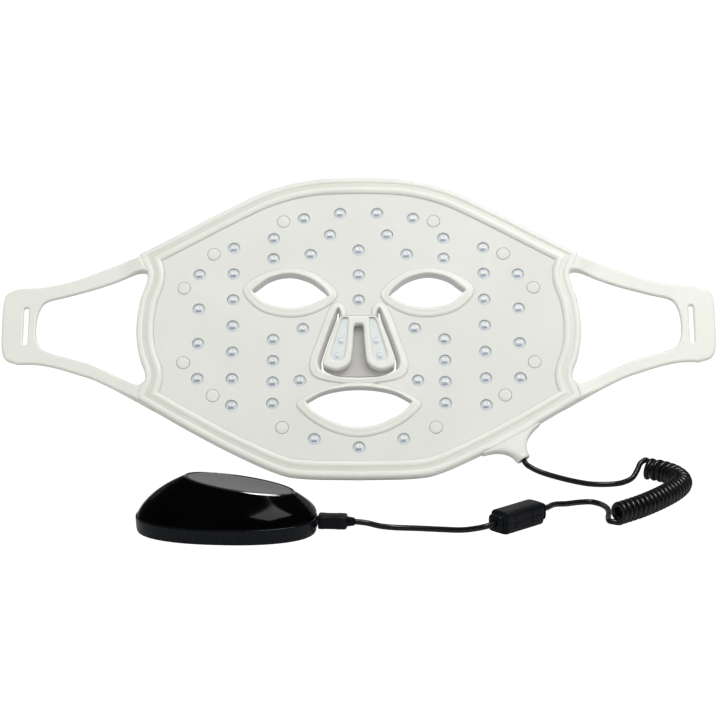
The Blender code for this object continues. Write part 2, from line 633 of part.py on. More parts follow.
def dome_section(rise, inset):
    """The dome's section at a share of its height: round shoulders between base and key."""
    swell = 1 - rise ** DOME_POWER
    length = KEY_LENGTH + (BODY_LENGTH - KEY_LENGTH) * swell - 2 * inset
    width = KEY_WIDTH + (BODY_WIDTH - KEY_WIDTH) * swell - 2 * inset
    x, y, top = KEY_CENTRE
    z = BASE_HEIGHT + GAP + (top - BASE_HEIGHT - GAP) * rise
    return oval(length, width, x * rise, y * rise, z, KEY_TILT * rise)


def build_controller(body):
    inner = 2 * WALL
    base_rings = [
        oval(BODY_LENGTH - 5, BODY_WIDTH - 5, z=FOOT_HEIGHT),
        oval(BODY_LENGTH - 1, BODY_WIDTH - 1, z=FOOT_HEIGHT + 2),
        oval(BODY_LENGTH, BODY_WIDTH, z=BASE_HEIGHT),
        oval(BODY_LENGTH - inner, BODY_WIDTH - inner, z=BASE_HEIGHT),
        oval(BODY_LENGTH - inner - 4, BODY_WIDTH - inner - 4, z=FOOT_HEIGHT + WALL),
    ]
    base = loft("controller_base", base_rings, BLACK_GLOSS, body)
    rises = [0.0, 0.3, 0.55, 0.78, 0.93, 1.0]
    outer = [dome_section(r, 0) for r in rises]
    hollow = [[(x, y, z - KEY_DEPTH * r) for x, y, z in dome_section(r, WALL + (KEY_LIP - WALL) * r)] for r in rises]
    loft("controller_dome", outer + list(reversed(hollow)), BLACK_GLOSS, body, closed=True)
    x, y, z = KEY_CENTRE
    key_size = (KEY_LENGTH - 2 * KEY_LIP - 2 * GAP, KEY_WIDTH - 2 * KEY_LIP - 2 * GAP)
    key_rings = [oval(*key_size, x, y, z - KEY_DEPTH, KEY_TILT), oval(*key_size, x, y, z + 0.2, KEY_TILT)]
    loft("power_key", key_rings, BLACK_SATIN, body)
    socket_x = BODY_LENGTH / 2 - 5.6
    combine(base, primitive("socket_slot", None, body, at(socket_x, 0, SOCKET_Z), size=(16, 10.2, 3.9)))
    board_z = FOOT_HEIGHT + WALL + 0.4
    socket = primitive("charge_socket", STEEL, body, at(socket_x - 0.6, 0, SOCKET_Z), size=(8.4, 9.4, 3.2))
    combine(socket, primitive("socket_mouth", None, body, at(socket_x + 1.4, 0, SOCKET_Z), size=(8.4, 8.6, 2.6)))
    board = oval(BODY_LENGTH - 34, BODY_WIDTH - 22, -7, 0, board_z)
    top = [(bx, by, board_z + 1.2) for bx, by, _ in board]
    loft("controller_board", [board, top], BOARD, body)
    primitive("battery_cell", CELL, body, at(-8, 0, board_z + 1.5 + 3.5), size=(44, 26, 7))
    stem_base = board_z + 1.5 + 7 + 0.3
    switch_top = z - KEY_DEPTH - KEY_TRAVEL - 0.2 - 0.5
    primitive("tact_switch", BLACK_MATTE, body, at(x, y, (stem_base + switch_top) / 2), radius=3.2,
              depth=switch_top - stem_base - 0.3, sides=10)
    for k, (sx, sy) in enumerate([(1, 1), (1, -1), (-1, 1), (-1, -1)]):
        place = at(sx * BODY_LENGTH * 0.29, sy * BODY_WIDTH * 0.25, (FOOT_HEIGHT - 0.1) / 2)
        primitive(f"rubber_foot_{k + 1}", RUBBER, body, place, radius=4.0, depth=FOOT_HEIGHT - 0.1, sides=12)
    for k, screw_x in enumerate(SCREW_X):
        hole = primitive(f"screw_hole_{k + 1}", None, body, at(screw_x, 0, 1.6), radius=1.9, depth=6, sides=10)
        combine(base, hole)
        primitive(f"base_screw_{k + 1}", STEEL, body, at(screw_x, 0, FOOT_HEIGHT + 2.2), radius=1.6, depth=3.6, sides=10)


# --- the plug on the end of the cord --------------------------------------------
def build_plug(body):
    face = BODY_LENGTH / 2 + 0.4
    z = PLUG_Z
    grip = primitive("plug_body", BLACK_MATTE, body, at(face + 7.8, 0, z), size=(15.0, 9.2, 7.8))
    bevel = grip.modifiers.new("round", "BEVEL")
    bevel.width = 1.2 * MM
    bevel.segments = 2
    primitive("plug_shell", STEEL, body, at(face - 2.6, 0, z - 0.3), size=(5.2, 8.0, 2.2))
    taper = at(face + 7.8 + 7.5 + GAP + 1.8, 0, z) @ Matrix.Rotation(math.pi / 2, 4, "Y")
    primitive("plug_relief", BLACK_MATTE, body, taper, radius=2.9, top_radius=2.3, depth=3.6, sides=12)


for stale in list(bpy.data.objects):
    bpy.data.objects.remove(stale)
for collection in (ROOT, TOOLS):
    bpy.context.scene.collection.children.link(collection)
build()
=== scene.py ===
# %% [markdown]
# # A soft LED face mask with its corded controller
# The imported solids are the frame: they say where every piece sits and how it moves.
# Each cell below replaces one plain solid by a finished surface, or gives it a finish.

# %% The frame and the places that everything is measured from
import math

import bmesh
import bpy
import numpy as np
from mathutils import Matrix, Vector
from mathutils.geometry import delaunay_2d_cdt
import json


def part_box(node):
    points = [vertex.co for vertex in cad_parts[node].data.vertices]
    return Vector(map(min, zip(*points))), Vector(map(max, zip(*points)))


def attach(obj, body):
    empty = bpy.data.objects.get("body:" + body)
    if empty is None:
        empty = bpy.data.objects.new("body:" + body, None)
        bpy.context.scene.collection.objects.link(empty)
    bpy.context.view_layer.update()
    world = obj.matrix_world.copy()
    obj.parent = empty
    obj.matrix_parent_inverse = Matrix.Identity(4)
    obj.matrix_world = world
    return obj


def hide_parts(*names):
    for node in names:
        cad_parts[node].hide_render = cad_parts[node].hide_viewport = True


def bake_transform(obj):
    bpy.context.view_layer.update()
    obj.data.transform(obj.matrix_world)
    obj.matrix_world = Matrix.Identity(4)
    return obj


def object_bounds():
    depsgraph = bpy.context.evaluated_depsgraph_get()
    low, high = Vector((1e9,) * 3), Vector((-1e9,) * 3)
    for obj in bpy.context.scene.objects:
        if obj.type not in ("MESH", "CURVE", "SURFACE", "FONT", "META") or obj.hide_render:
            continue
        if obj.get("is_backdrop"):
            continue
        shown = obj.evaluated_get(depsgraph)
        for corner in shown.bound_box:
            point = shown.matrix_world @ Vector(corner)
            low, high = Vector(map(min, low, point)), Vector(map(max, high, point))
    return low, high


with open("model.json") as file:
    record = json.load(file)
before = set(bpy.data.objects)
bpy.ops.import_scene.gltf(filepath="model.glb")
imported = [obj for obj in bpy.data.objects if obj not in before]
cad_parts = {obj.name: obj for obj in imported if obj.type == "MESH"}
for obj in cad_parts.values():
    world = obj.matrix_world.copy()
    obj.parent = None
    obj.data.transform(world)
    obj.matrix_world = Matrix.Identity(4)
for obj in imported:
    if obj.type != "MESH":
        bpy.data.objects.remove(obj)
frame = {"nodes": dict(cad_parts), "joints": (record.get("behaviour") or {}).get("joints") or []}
cad_low, cad_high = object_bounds()
MM = 0.001
joints = {j["name"]: j for j in frame["joints"]}
nodes = frame["nodes"]

# The right ear loop's hinge fixes the mask's plane: its axis runs down the mask.
HINGE_U, HINGE_V, ARM_FRONT = 132.0, 91.0, 5.0
ear_joint = joints["ear_right_flex"]
across = np.array([1.0, 0.0, 0.0])
upward = -np.array(ear_joint["axis"])
outward = np.cross(across, upward)
foot = np.array(ear_joint["pos_m"]) - MM * (HINGE_U * across + HINGE_V * upward + ARM_FRONT * outward)
print("the mask stands at", foot.round(4), "and its face looks along", outward.round(3))


def on_mask(points):
    """Places (u, v, h) in mm, across, up and out of the mask, as places in the frame."""
    return foot + MM * (np.asarray(points, float) @ np.array([across, upward, outward]))


# %% [markdown]
# ## Curves
# Silicone is moulded, so its outlines are smooth between a few true corners. A
# Catmull-Rom curve passes through the given points, and walking it in equal steps
# gives two curves the same number of points, ready to be joined.

# %% Smooth runs and closed loops
FINE = 24


def spline(p):
    """The Catmull-Rom cubic between every two inner points: FINE places for each span, from
    half the sum of each of four points in a row times its own cubic of the share t."""
    t = np.linspace(0, 1, FINE, endpoint=False)[:, None]
    a, b, c, d = p[:-3, None], p[1:-2, None], p[2:-1, None], p[3:, None]
    cubic = 2 * b + (c - a) * t + (2 * a - 5 * b + 4 * c - d) * t**2 + (3 * b - a - 3 * c + d) * t**3
    return (0.5 * cubic).reshape(-1, p.shape[1])


def run(points, count):
    """count places at equal steps on the Catmull-Rom curve through the points."""
    p = np.asarray(points, float)
    p = np.vstack([2 * p[0] - p[1], p, 2 * p[-1] - p[-2]])
    return even(np.vstack([spline(p), p[-2:-1]]), count)


def even(line, count):
    """The line walked in equal steps: its length so far, interpolated at count places."""
    far = np.concatenate([[0], np.cumsum(np.linalg.norm(np.diff(line, axis=0), axis=1))])
    steps = np.linspace(0, far[-1], count)
    return np.stack([np.interp(steps, far, line[:, k]) for k in range(line.shape[1])], 1)


def ring_through(points, *counts):
    """A closed smooth curve, cut at two of its points: each count is (index, steps to the other)."""
    p = np.asarray(points, float)
    fine = spline(p[np.arange(-1, len(p) + 2) % len(p)])
    (first, steps), (second, back) = counts
    fine = np.roll(fine, -FINE * first, axis=0)
    cut = FINE * (second - first)
    home = np.vstack([fine[cut:], fine[:1]])
    return np.vstack([even(fine[:cut + 1], steps + 1)[:-1], even(home, back + 1)[:-1]])


def joined(*runs):
    """Runs that meet end to end, as one closed loop: each gives up its last point."""
    return np.vstack([r[:-1] for r in runs])


def flipped(line):
    """The left-hand copy of a line, walked the other way."""
    return line[::-1] * np.array([-1.0, 1.0])


def whole(right):
    """A loop from its right half, which starts and ends on the middle line."""
    return np.vstack([right, flipped(right)[1:-1]])


# %% [markdown]
# ## Surfaces
# Almost every soft piece here is a profile carried round an outline. Where a rim lies
# between two outlines, each profile point says what share of the way it is from one
# to the other and how high it stands, so corners stay crisp and nothing crosses.


def add_mesh(name, points, faces, finish, body="root", replaces=(), kinds=None):
    """One finished piece: places in metres, faces, a finish or several with each face's kind,
    and the body that it rides on."""
    mesh = bpy.data.meshes.new(name)
    mesh.from_pydata(np.asarray(points, float).tolist(), [], [list(map(int, f)) for f in faces])
    if kinds is not None:
        mesh.polygons.foreach_set("material_index", np.asarray(kinds, np.int32))
    mesh.validate()
    obj = bpy.data.objects.new(name, mesh)
    bpy.context.scene.collection.objects.link(obj)
    for m in finish if isinstance(finish, (list, tuple)) else [finish]:
        mesh.materials.append(m)
    mesh.polygons.foreach_set("use_smooth", [True] * len(mesh.polygons))
    if body:
        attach(obj, body)
    if replaces:
        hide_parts(*replaces)
    return obj


def grid_faces(rows, columns, wrap_rows=False, wrap_columns=True, start=0):
    """Quads over a grid whose points are numbered row by row."""
    r = np.arange(rows if wrap_rows else rows - 1)
    c = np.arange(columns if wrap_columns else columns - 1)
    i, j = np.meshgrid(r, c, indexing="ij")
    i2, j2 = (i + 1) % rows, (j + 1) % columns
    quads = [i * columns + j, i * columns + j2, i2 * columns + j2, i2 * columns + j]
    return start + np.stack(quads, -1).reshape(-1, 4)


def rim(outer, inner, profile):
    """A profile carried between two outlines: each (share, height) pair gives one ring,
    outer + share * (inner - outer) at that height. Either may be one number per place."""
    rings = []
    for share, height in profile:
        share, height = (np.broadcast_to(value, len(outer))[:, None] for value in (share, height))
        rings.append(np.hstack([outer + share * (inner - outer), height]))
    return np.vstack(rings), grid_faces(len(profile), len(outer))


def offset(loop, distance):
    """A loop moved towards the left of its travel: along the mean of both sides' normals."""
    before = loop - np.roll(loop, 1, axis=0)
    after = np.roll(loop, -1, axis=0) - loop
    before /= np.linalg.norm(before, axis=1, keepdims=True)
    after /= np.linalg.norm(after, axis=1, keepdims=True)
    normal = np.stack([-(before + after)[:, 1], (before + after)[:, 0]], 1)
    return loop + 2 * distance * normal / np.maximum((normal**2).sum(1, keepdims=True), 1.2)


def signed_area(loop):
    x, y = loop.T
    return 0.5 * np.sum(x * np.roll(y, -1) - y * np.roll(x, -1))


def fill(loops, height, up=True):
    """Triangles over the first loop less the others, at one height, from a net that keeps
    the outlines and makes the triangles as even as they allow."""
    loops = [l if signed_area(l) > 0 else l[::-1] for l in loops]
    ends = np.cumsum([len(l) for l in loops])
    outlines = [list(range(e - len(l), e)) for l, e in zip(loops, ends)]
    places = [Vector(p) for p in np.vstack(loops)]
    net, _, faces, _, _, owners = delaunay_2d_cdt(places, [], outlines, 1, 1e-5)
    net = np.array([p[:] for p in net])
    faces = np.array([f for f, owner in zip(faces, owners) if list(owner) == [0]])
    (ax, ay), (bx, by) = (net[faces[:, 1]] - net[faces[:, 0]]).T, (net[faces[:, 2]] - net[faces[:, 0]]).T
    wrong = (ax * by - ay * bx > 0) != up
    faces[wrong] = faces[wrong][:, ::-1]
    return np.hstack([net, np.full((len(net), 1), float(height))]), [tuple(f) for f in faces]


def slab(loops, low, high, round_, steps=4, margin=0.5):
    """A moulded sheet with rounded edges: quarter circles roll each outline over, front
    and back, and a narrow flat margin keeps the shading of the fill even."""
    turn = np.linspace(0, math.pi / 2, steps + 1)
    points, faces, count = [], [], 0
    front, back = [], []
    for k, loop in enumerate(loops):
        loop = np.asarray(loop, float)
        if (signed_area(loop) > 0) != (k == 0):
            loop = loop[::-1]
        inset = [round_ * (1 - math.cos(t)) for t in turn]
        levels = [(inset[i], low + round_ * (1 - math.sin(turn[i]))) for i in range(steps, -1, -1)]
        levels += [(inset[i], high - round_ * (1 - math.sin(turn[i]))) for i in range(steps + 1)]
        levels = [(round_ + margin, low)] + levels + [(round_ + margin, high)]
        rings = [np.hstack([offset(loop, d), np.full((len(loop), 1), h)]) for d, h in levels]
        points += rings
        faces += list(grid_faces(len(rings), len(loop), start=count))
        back.append(rings[0][:, :2])
        front.append(rings[-1][:, :2])
        count += len(rings) * len(loop)
    for side, height, up in ((front, high, True), (back, low, False)):
        p, f = fill(side, height, up)
        faces += [tuple(i + count for i in face) for face in f]
        points.append(p)
        count += len(p)
    return np.vstack(points), faces


def merged(parts):
    """Several (points, faces) pairs as one, still apart."""
    points, faces, count = [], [], 0
    for p, f in parts:
        points.append(p)
        faces += [tuple(int(i) + count for i in face) for face in f]
        count += len(p)
    return np.vstack(points), faces


def tidy(obj, distance=0.00002):
    """Welds seams that meet, where a distance is given, and turns the faces outwards."""
    bm = bmesh.new()
    bm.from_mesh(obj.data)
    if distance:
        bmesh.ops.remove_doubles(bm, verts=bm.verts, dist=distance)
    bmesh.ops.recalc_face_normals(bm, faces=bm.faces)
    bm.to_mesh(obj.data)
    bm.free()
    return obj


def even_shading(obj, angle=50):
    """Shades round edges smoothly and leaves true corners sharp."""
    obj.data.set_sharp_from_angle(angle=math.radians(angle))
    return obj


# %% [markdown]
# ## Finishes
# Every finish is procedural. A small class turns shader sums into plain expressions:
# adding or multiplying two sockets adds the Math node that does it.

# %% Sockets that can be reckoned with
class Wire:
    """A node socket that adds Math nodes when it is reckoned with."""

    def __init__(self, tree, socket):
        self.tree, self.socket = tree, socket

    def node(self, kind, settings=None, inputs=None, output=0):
        """Any node: settings first, then values or links for its sockets."""
        n = self.tree.nodes.new(kind)
        for key, value in (settings or {}).items():
            setattr(n, key, value)
        for key, value in (inputs or {}).items():
            if isinstance(value, Wire):
                self.tree.links.new(value.socket, n.inputs[key])
            else:
                n.inputs[key].default_value = value
        return Wire(self.tree, n.outputs[output])

    def sum(self, operation, other, swap=False):
        pair = (other, self) if swap else (self, other)
        return self.node("ShaderNodeMath", {"operation": operation}, dict(enumerate(pair)))

    def __add__(self, other): return self.sum("ADD", other)
    def __radd__(self, other): return self.sum("ADD", other)
    def __sub__(self, other): return self.sum("SUBTRACT", other)
    def __rsub__(self, other): return self.sum("SUBTRACT", other, swap=True)
    def __mul__(self, other): return self.sum("MULTIPLY", other)
    def __rmul__(self, other): return self.sum("MULTIPLY", other)

    def ramp(self, low, high):
        """0 below low, 1 above high, smooth between."""
        smooth = {"interpolation_type": "SMOOTHSTEP"}
        return self.node("ShaderNodeMapRange", smooth, {0: self, 1: low, 2: high})

    def between(self, dark, light):
        """A colour between two, by this value."""
        ends = {0: self, 6: (*dark, 1), 7: (*light, 1)}
        return self.node("ShaderNodeMix", {"data_type": "RGBA"}, ends, output=2)


def start(name):
    """A new material, and a wire that carries its object coordinates."""
    m = bpy.data.materials.new(name)
    m.use_nodes = True
    tree = m.node_tree
    coordinates = tree.nodes.new("ShaderNodeTexCoord")
    return m, Wire(tree, coordinates.outputs["Object"])


def noise(place, scale, detail=3.0, rough=0.5):
    """Soft noise from 0 to 1; scale is in waves per metre."""
    inputs = {"Vector": place, "Scale": scale, "Detail": detail, "Roughness": rough}
    return place.node("ShaderNodeTexNoise", None, inputs)


def bump(place, height, distance, strength=1.0):
    return place.node("ShaderNodeBump", None, {"Height": height, "Distance": distance, "Strength": strength})


def settle(m, place, colour, roughness, normal=None, **constants):
    """Feeds the Principled shader: linked colour, roughness and normal, plain numbers for the rest."""
    shader = m.node_tree.nodes["Principled BSDF"]
    for key, value in (("Base Color", colour), ("Roughness", roughness), ("Normal", normal)):
        if isinstance(value, Wire):
            m.node_tree.links.new(value.socket, shader.inputs[key])
        elif value is not None:
            shader.inputs[key].default_value = (*value, 1) if key == "Base Color" else value
    for key, value in constants.items():
        shader.inputs[key.replace("_", " ")].default_value = value
    return m


def silicone(name, light, dark, grain, depth, roughness, **constants):
    """Moulded silicone: cloudy tone over centimetres, and a fine grain left by the mould."""
    m, place = start(name)
    cloud = noise(place, 28.0, 4.0).ramp(0.3, 0.7)
    fine = noise(place, grain, 2.0)
    colour = (cloud * 0.7 + fine * 0.3).between(dark, light)
    shine = roughness - 0.06 + 0.12 * noise(place, 160.0, 2.0)
    return settle(m, place, colour, shine, bump(place, fine, depth), Specular_IOR_Level=0.35,
                  Subsurface_Weight=0.12, Subsurface_Radius=(0.004, 0.003, 0.002), Subsurface_Scale=0.6,
                  **constants)


SKIN = silicone("moulded_silicone", (0.745, 0.755, 0.70), (0.715, 0.725, 0.67), 2600.0, 0.00002, 0.46)
PANEL = silicone("grained_silicone", (0.715, 0.725, 0.68), (0.68, 0.69, 0.645), 2200.0, 0.00008, 0.62)
SEAL = silicone("sealing_adhesive", (0.665, 0.668, 0.595), (0.63, 0.632, 0.555), 900.0, 0.00003, 0.35)
# The floor of the nose channel is painted shade: the grey of a deep recess between the legs.
CHANNEL_SHADE = silicone("painted_channel_shade", (0.50, 0.49, 0.475), (0.465, 0.455, 0.44), 1800.0, 0.00002, 0.6)
# The walls of the openings are painted shade: greyer than the rim. A faint glow on them is painted light,
# which brightens that shade a little.
WALL = silicone("painted_shade_and_glow_wall", (0.62, 0.61, 0.60), (0.57, 0.56, 0.55), 1800.0, 0.00002, 0.6,
                Emission_Color=(1, 0.985, 0.97, 1), Emission_Strength=0.06)
print("finishes so far:", [m.name for m in (SKIN, PANEL, SEAL, CHANNEL_SHADE, WALL)])

# %% [markdown]
# ## The mask's outlines
# Right halves only, in mm across and up from the foot: the left half is their mirror
# image. Runs that end in the same place meet there at a true corner.

# %% Outer edge, with the inner edge of its rim matched to it corner for corner
TOP_EDGE = [(0, 185.2), (27, 183.8), (53, 177.0), (80, 163.2), (105, 149.0), (127, 136.7)]
SIDE_EDGE = [(127, 136.7), (121.9, 123.5), (126, 107), (127.6, 89.6), (125.8, 75), (121.6, 60.5), (126, 47.4)]
BOTTOM_EDGE = [(126, 47.4), (99, 31.0), (73, 16.5), (47, 4.2), (31, 0.8), (0, 0)]
EDGE_COUNTS = (110, 90, 120)
RIM_WIDTH, FLOOR_TOP = 9.9, 2.0


def half_of(*runs):
    """The right half of a loop, both its points on the middle line included."""
    half = np.vstack([r[:-1] for r in runs] + [runs[-1][-1:]])
    half[[0, -1], 0] = 0
    return half


def inset_edges(distance):
    """The outer edge's three runs moved inwards, each cut where it meets the next."""
    moved = []
    for edge in (TOP_EDGE, SIDE_EDGE, BOTTOM_EDGE):
        line = run(edge, 400)
        along = np.gradient(line, axis=0)
        along /= np.linalg.norm(along, axis=1, keepdims=True)
        moved.append(line + distance * along[:, ::-1] * (1, -1))
    for k in (0, 1):
        moved[k], moved[k + 1] = meet(moved[k], moved[k + 1])
    return whole(half_of(*[even(line, n) for line, n in zip(moved, EDGE_COUNTS)]))


def meet(first, second):
    """Two runs cut where they come closest, so that the second starts where the first ends."""
    gaps = np.linalg.norm(first[:, None] - second[None], axis=2)
    i, j = np.unravel_index(gaps.argmin(), gaps.shape)
    second = second[j:].copy()
    second[0] = first[i]
    return first[:i + 1], second


outer_edge = inset_edges(0.0)
inner_edge = inset_edges(RIM_WIDTH)
print("outer edge:", len(outer_edge), "places,", np.ptp(outer_edge, axis=0).round(1), "mm across and up")

# %% Openings for the eyes, mouth and nose, each matched to the outer line of its rim
EYE_UPPER = [(61.5, 113.8), (51.7, 121.3), (40, 124.1), (28.6, 121.2), (20.5, 115.2), (17.2, 110.2)]
EYE_LOWER = [(17.2, 110.2), (28.6, 104.7), (40, 102.9), (51.7, 105.2), (58, 109.4), (61.5, 113.8)]
EYE_RIM = [(66.9, 114), (56, 124), (40, 127.7), (24, 123.5), (12.3, 110.8), (24, 100.2), (40, 97),
           (57, 101.5)]
MOUTH_UPPER = [(0, 54.1), (10.2, 53.4), (20.6, 50.8), (30, 45.6)]
MOUTH_LOWER = [(30, 45.6), (27, 41), (21.5, 36.9), (10.5, 31.8), (0, 30.2)]
MOUTH_RIM = [(0, 57.4), (16, 54.6), (27.8, 50), (35.4, 44.5), (33, 39.5), (24.5, 32.3), (14, 26.9),
             (0, 24.1)]
NOSE_OPENING = [(10, 98), (10.6, 101.2), (11.7, 102.6), (12.7, 101.6), (15.2, 95.4), (18.1, 87.3), (21, 78.6),
                (23.1, 71.8), (23.3, 67.5), (20.6, 63.6), (10.6, 60.2), (0, 59.3)]
NOSE_RIM = [(6.9, 98.3), (8.2, 103.6), (12, 106.2), (16, 104), (20, 94.5), (24.2, 82), (28.2, 70), (27.4, 63),
            (22.5, 59), (10, 56.6), (0, 55.8)]
HINGE_LINE = 98.0


def run_cut(points, index, before, after):
    """A smooth run through all the points, walked in equal steps on each side of one of them."""
    fine = run(points, 24 * (len(points) - 1) + 1)
    p = np.asarray(points[index], float)
    cut = np.linalg.norm(fine - p, axis=1).argmin()
    return np.vstack([even(fine[:cut + 1], before + 1)[:-1], even(fine[cut:], after)])


def mirrored_middle(points):
    """A half line that ends on the middle line, with enough of its mirror image to leave it level."""
    return list(points) + [(-points[-2][0], points[-2][1])]


def level_end(points, count):
    """A smooth run whose last point is on the middle line, crossed at a right angle."""
    fine = run(mirrored_middle(points), 40 * len(points))
    fine = fine[:np.argmax(fine[:, 0] <= 0.0) + 1]
    fine[-1] = points[-1]
    return even(fine, count)


eye_opening = joined(run(EYE_UPPER, 49), run(EYE_LOWER, 49))
eye_rim = ring_through(EYE_RIM, (0, 48), (4, 48))
mouth_upper = level_end(MOUTH_UPPER[::-1], 37)[::-1]
mouth_lower = level_end(MOUTH_LOWER, 37)
mouth_opening = whole(half_of(mouth_upper, mouth_lower))
mouth_rim_run = run([(-16, 54.6)] + MOUTH_RIM + [(-14, 26.9)], 700)
corner = np.linalg.norm(mouth_rim_run - MOUTH_RIM[3], axis=1).argmin()
right_part = np.flatnonzero(mouth_rim_run[:, 0] > 0.05)
mouth_rim = whole(half_of(even(mouth_rim_run[right_part[0] - 1:corner + 1], 37),
                          even(mouth_rim_run[corner:right_part[-1] + 2], 37)))
bridge = 12
nose_opening_half = np.vstack([np.linspace((0, HINGE_LINE), (10, HINGE_LINE), bridge, endpoint=False),
                               run_cut(NOSE_OPENING, 2, 14, 90)])
above_fold = HINGE_LINE + 0.3
nose_rim_half = np.vstack([np.linspace((0, above_fold), (6.9, above_fold), bridge, endpoint=False),
                           run_cut(NOSE_RIM, 2, 14, 90)])
nose_opening, nose_rim = whole(nose_opening_half), whole(nose_rim_half)
rims = [(eye_rim, eye_opening), (flipped(eye_rim), flipped(eye_opening)), (mouth_rim, mouth_opening),
        (nose_rim, nose_opening)]
print("rims:", [len(a) == len(b) for a, b in rims])


# %% Round places: lights and the studs that bond the layers
def column(u, v, pitch, count):
    """Places one above the other, evenly about v."""
    return [(u, v + (k - (count - 1) / 2) * pitch) for k in range(count)]


CHEEK_COLUMN = column(49.1, 63.9, 13.0, 4)
LIGHTS = {
    "forehead": [(10.8, 162.5), (31.8, 159.2), (49.3, 146.5), (49.3, 133.8), (27.8, 136.4), (16.6, 148.7)],
    "outer": column(72.3, 91.9, 16.2, 7),
    "temple": column(92.0, 91.7, 21.4, 4),
    "cheek": [(32.1, 90.1), *CHEEK_COLUMN[:3], (33.6, 58.3), *CHEEK_COLUMN[3:]],
}
NOSE_LIGHTS = [(10.1, 82.4), (12.1, 73.3)]
strips = {f"{name}_right": p for name, p in LIGHTS.items()}
strips.update({f"{name}_left": [(-u, v) for u, v in p] for name, p in LIGHTS.items()})
strips.update(centre=column(0, 123.4, 15.7, 3), chin=[(-25.2, 23.1), (0.0, 18.1), (25.2, 23.1)])
STUDS = [(43.7, 157.3), (83.9, 136.6), (100.7, 115.3), (100.3, 69.3), (83.1, 49.2), (43.5, 29.9)]
studs = [(s * u, v) for u, v in STUDS for s in (1, -1)]
WINDOW, STUD = 3.5, 3.7


def circle(u, v, radius, sides=32):
    """Places evenly round a circle."""
    turn = np.linspace(0, 2 * math.pi, sides, endpoint=False)
    return np.stack([u + radius * np.cos(turn), v + radius * np.sin(turn)], 1)


print("lights on the face:", sum(map(len, strips.values())), "- studs:", len(studs))

# %% [markdown]
# ## The silicone tray
# The tray is one moulding: a broad rim with a groove for the adhesive, a floor behind
# the face panel, and a bead round each opening. It could be cut by booleans, but a
# profile carried between two matched outlines keeps every bead smooth. Where an ear
# loop or the cable boot grows out of the edge, the edge's rounding fades away.

# %% The rim, the beads, the floor and the back skin
BOOT_ROOT = np.array([86.0, 23.5])


def smooth_step(value):
    value = np.clip(value, 0, 1)
    return value * value * (3 - 2 * value)


def grown_out(places):
    """1 where the ear loops or the cable boot grow out of the outer edge, 0 elsewhere."""
    u, v = np.abs(places[:, 0]), places[:, 1]
    above = smooth_step((v - 124.5) / 3) * smooth_step((136.5 - v) / 1.5)
    below = smooth_step((57.5 - v) / 3) * smooth_step((v - 47.6) / 1.5)
    arms = np.where(u > 118, np.maximum(above, below), 0)
    boot = smooth_step((18.0 - np.linalg.norm(places - BOOT_ROOT, axis=1)) / 4)
    return np.maximum(arms, boot)


RIM_PROFILE = [(2.0, 0.0), (1.1, 0.0), (0.55, 0.12), (0.18, 0.42), (0.0, 0.95), (0.0, 3.4), (0.0, 5.6),
               (0.12, 6.2), (0.45, 6.66), (0.95, 6.9), (1.6, 7.0), (2.35, 7.0), (2.9, 6.93), (3.3, 6.8),
               (3.5, 6.66), (3.5, 5.2),
               (5.9, 5.2), (5.9, 6.62), (6.15, 6.74), (6.6, 6.9), (7.4, 7.03), (8.2, 6.98), (8.9, 6.75),
               (9.45, 6.4), (9.8, 5.98), (9.9, 5.6), (9.9, 2.0)]
fade = grown_out(outer_edge)
rim_rows = []
for depth, height in RIM_PROFILE:
    level = np.full(len(outer_edge), height)
    if depth < 2:
        level += fade * ((7.0 if height > 3.4 else 0.0) - level) * (height != 3.4)
    rim_rows.append((depth / RIM_WIDTH, level))


BEAD = [(0.0, 2.0), (0.0, 5.5), (0.03, 5.85), (0.1, 6.22), (0.2, 6.48), (0.33, 6.56), (0.43, 6.5),
        (0.54, 6.62), (0.7, 6.85), (0.86, 6.8), (0.95, 6.55), (0.99, 6.2), (1.0, 5.9), (1.0, 3.5),
        (1.0, 0.9), (0.97, 0.35), (0.88, 0.06), (0.78, 0.0)]
WALL_ROWS = range(11, 17)
EYE_CORNER, SLOT_TOP, WALL_TOP, WALL_HEIGHT = 112.0, 104.5, 6.1, 5.0
NOSE_DRAFT, EYE_DRAFT = 0.42, 0.16
shell_parts = [rim(outer_edge, inner_edge, rim_rows)]
kinds = [np.zeros(len(shell_parts[0][1]))]
for outline, opening in rims:
    up = opening[:, 1]
    low = np.zeros(len(opening))
    lean = EYE_DRAFT * smooth_step((up - EYE_CORNER) / 4)
    if outline is nose_rim:
        # Under the fold the bead sinks below the panel, and the slot's wall slopes inwards.
        low = smooth_step((9.6 - np.abs(opening[:, 0])) / 0.6) * (up > HINGE_LINE - 0.5)
        lean = NOSE_DRAFT * smooth_step((SLOT_TOP - up) / 3) * smooth_step((up - 62) / 6) * (1 - low)
    rows = []
    for k, (share, level) in enumerate(BEAD):
        depth = smooth_step((WALL_TOP - level) / WALL_HEIGHT) * (k > WALL_ROWS[0])
        rows.append((share + lean * depth, level + low * (min(level, 4.6) - level)))
    shell_parts.append(rim(outline, opening, rows))
    # The wall rows take the wall finish: painted shade with a faint painted glow.
    kinds.append(np.repeat([k in WALL_ROWS for k in range(len(BEAD) - 1)], len(outline)))

# The nose's rim and the mouth's run into each other, so the panel meets both as one line.
nose_side, mouth_side = meet(nose_rim_half, mouth_rim[:73])
face_hole = whole(np.vstack([nose_side, mouth_side[1:]]))
openings_back = [part[0][-len(opening):, :2] for part, (_, opening) in zip(shell_parts[1:], rims)]
floor = fill([inner_edge, eye_rim, flipped(eye_rim), face_hole], FLOOR_TOP)
back = fill([outer_edge + 2.0 / RIM_WIDTH * (inner_edge - outer_edge)] + openings_back, 0.0, up=False)
points, faces = merged(shell_parts + [floor, back])
kinds = np.concatenate(kinds + [np.zeros(len(floor[1]) + len(back[1]))])
tray = add_mesh("mask_tray", on_mask(points), faces, [SKIN, WALL], replaces=["outer_tray"], kinds=kinds)
even_shading(tidy(tray), 40)
print("tray:", len(tray.data.polygons), "faces")

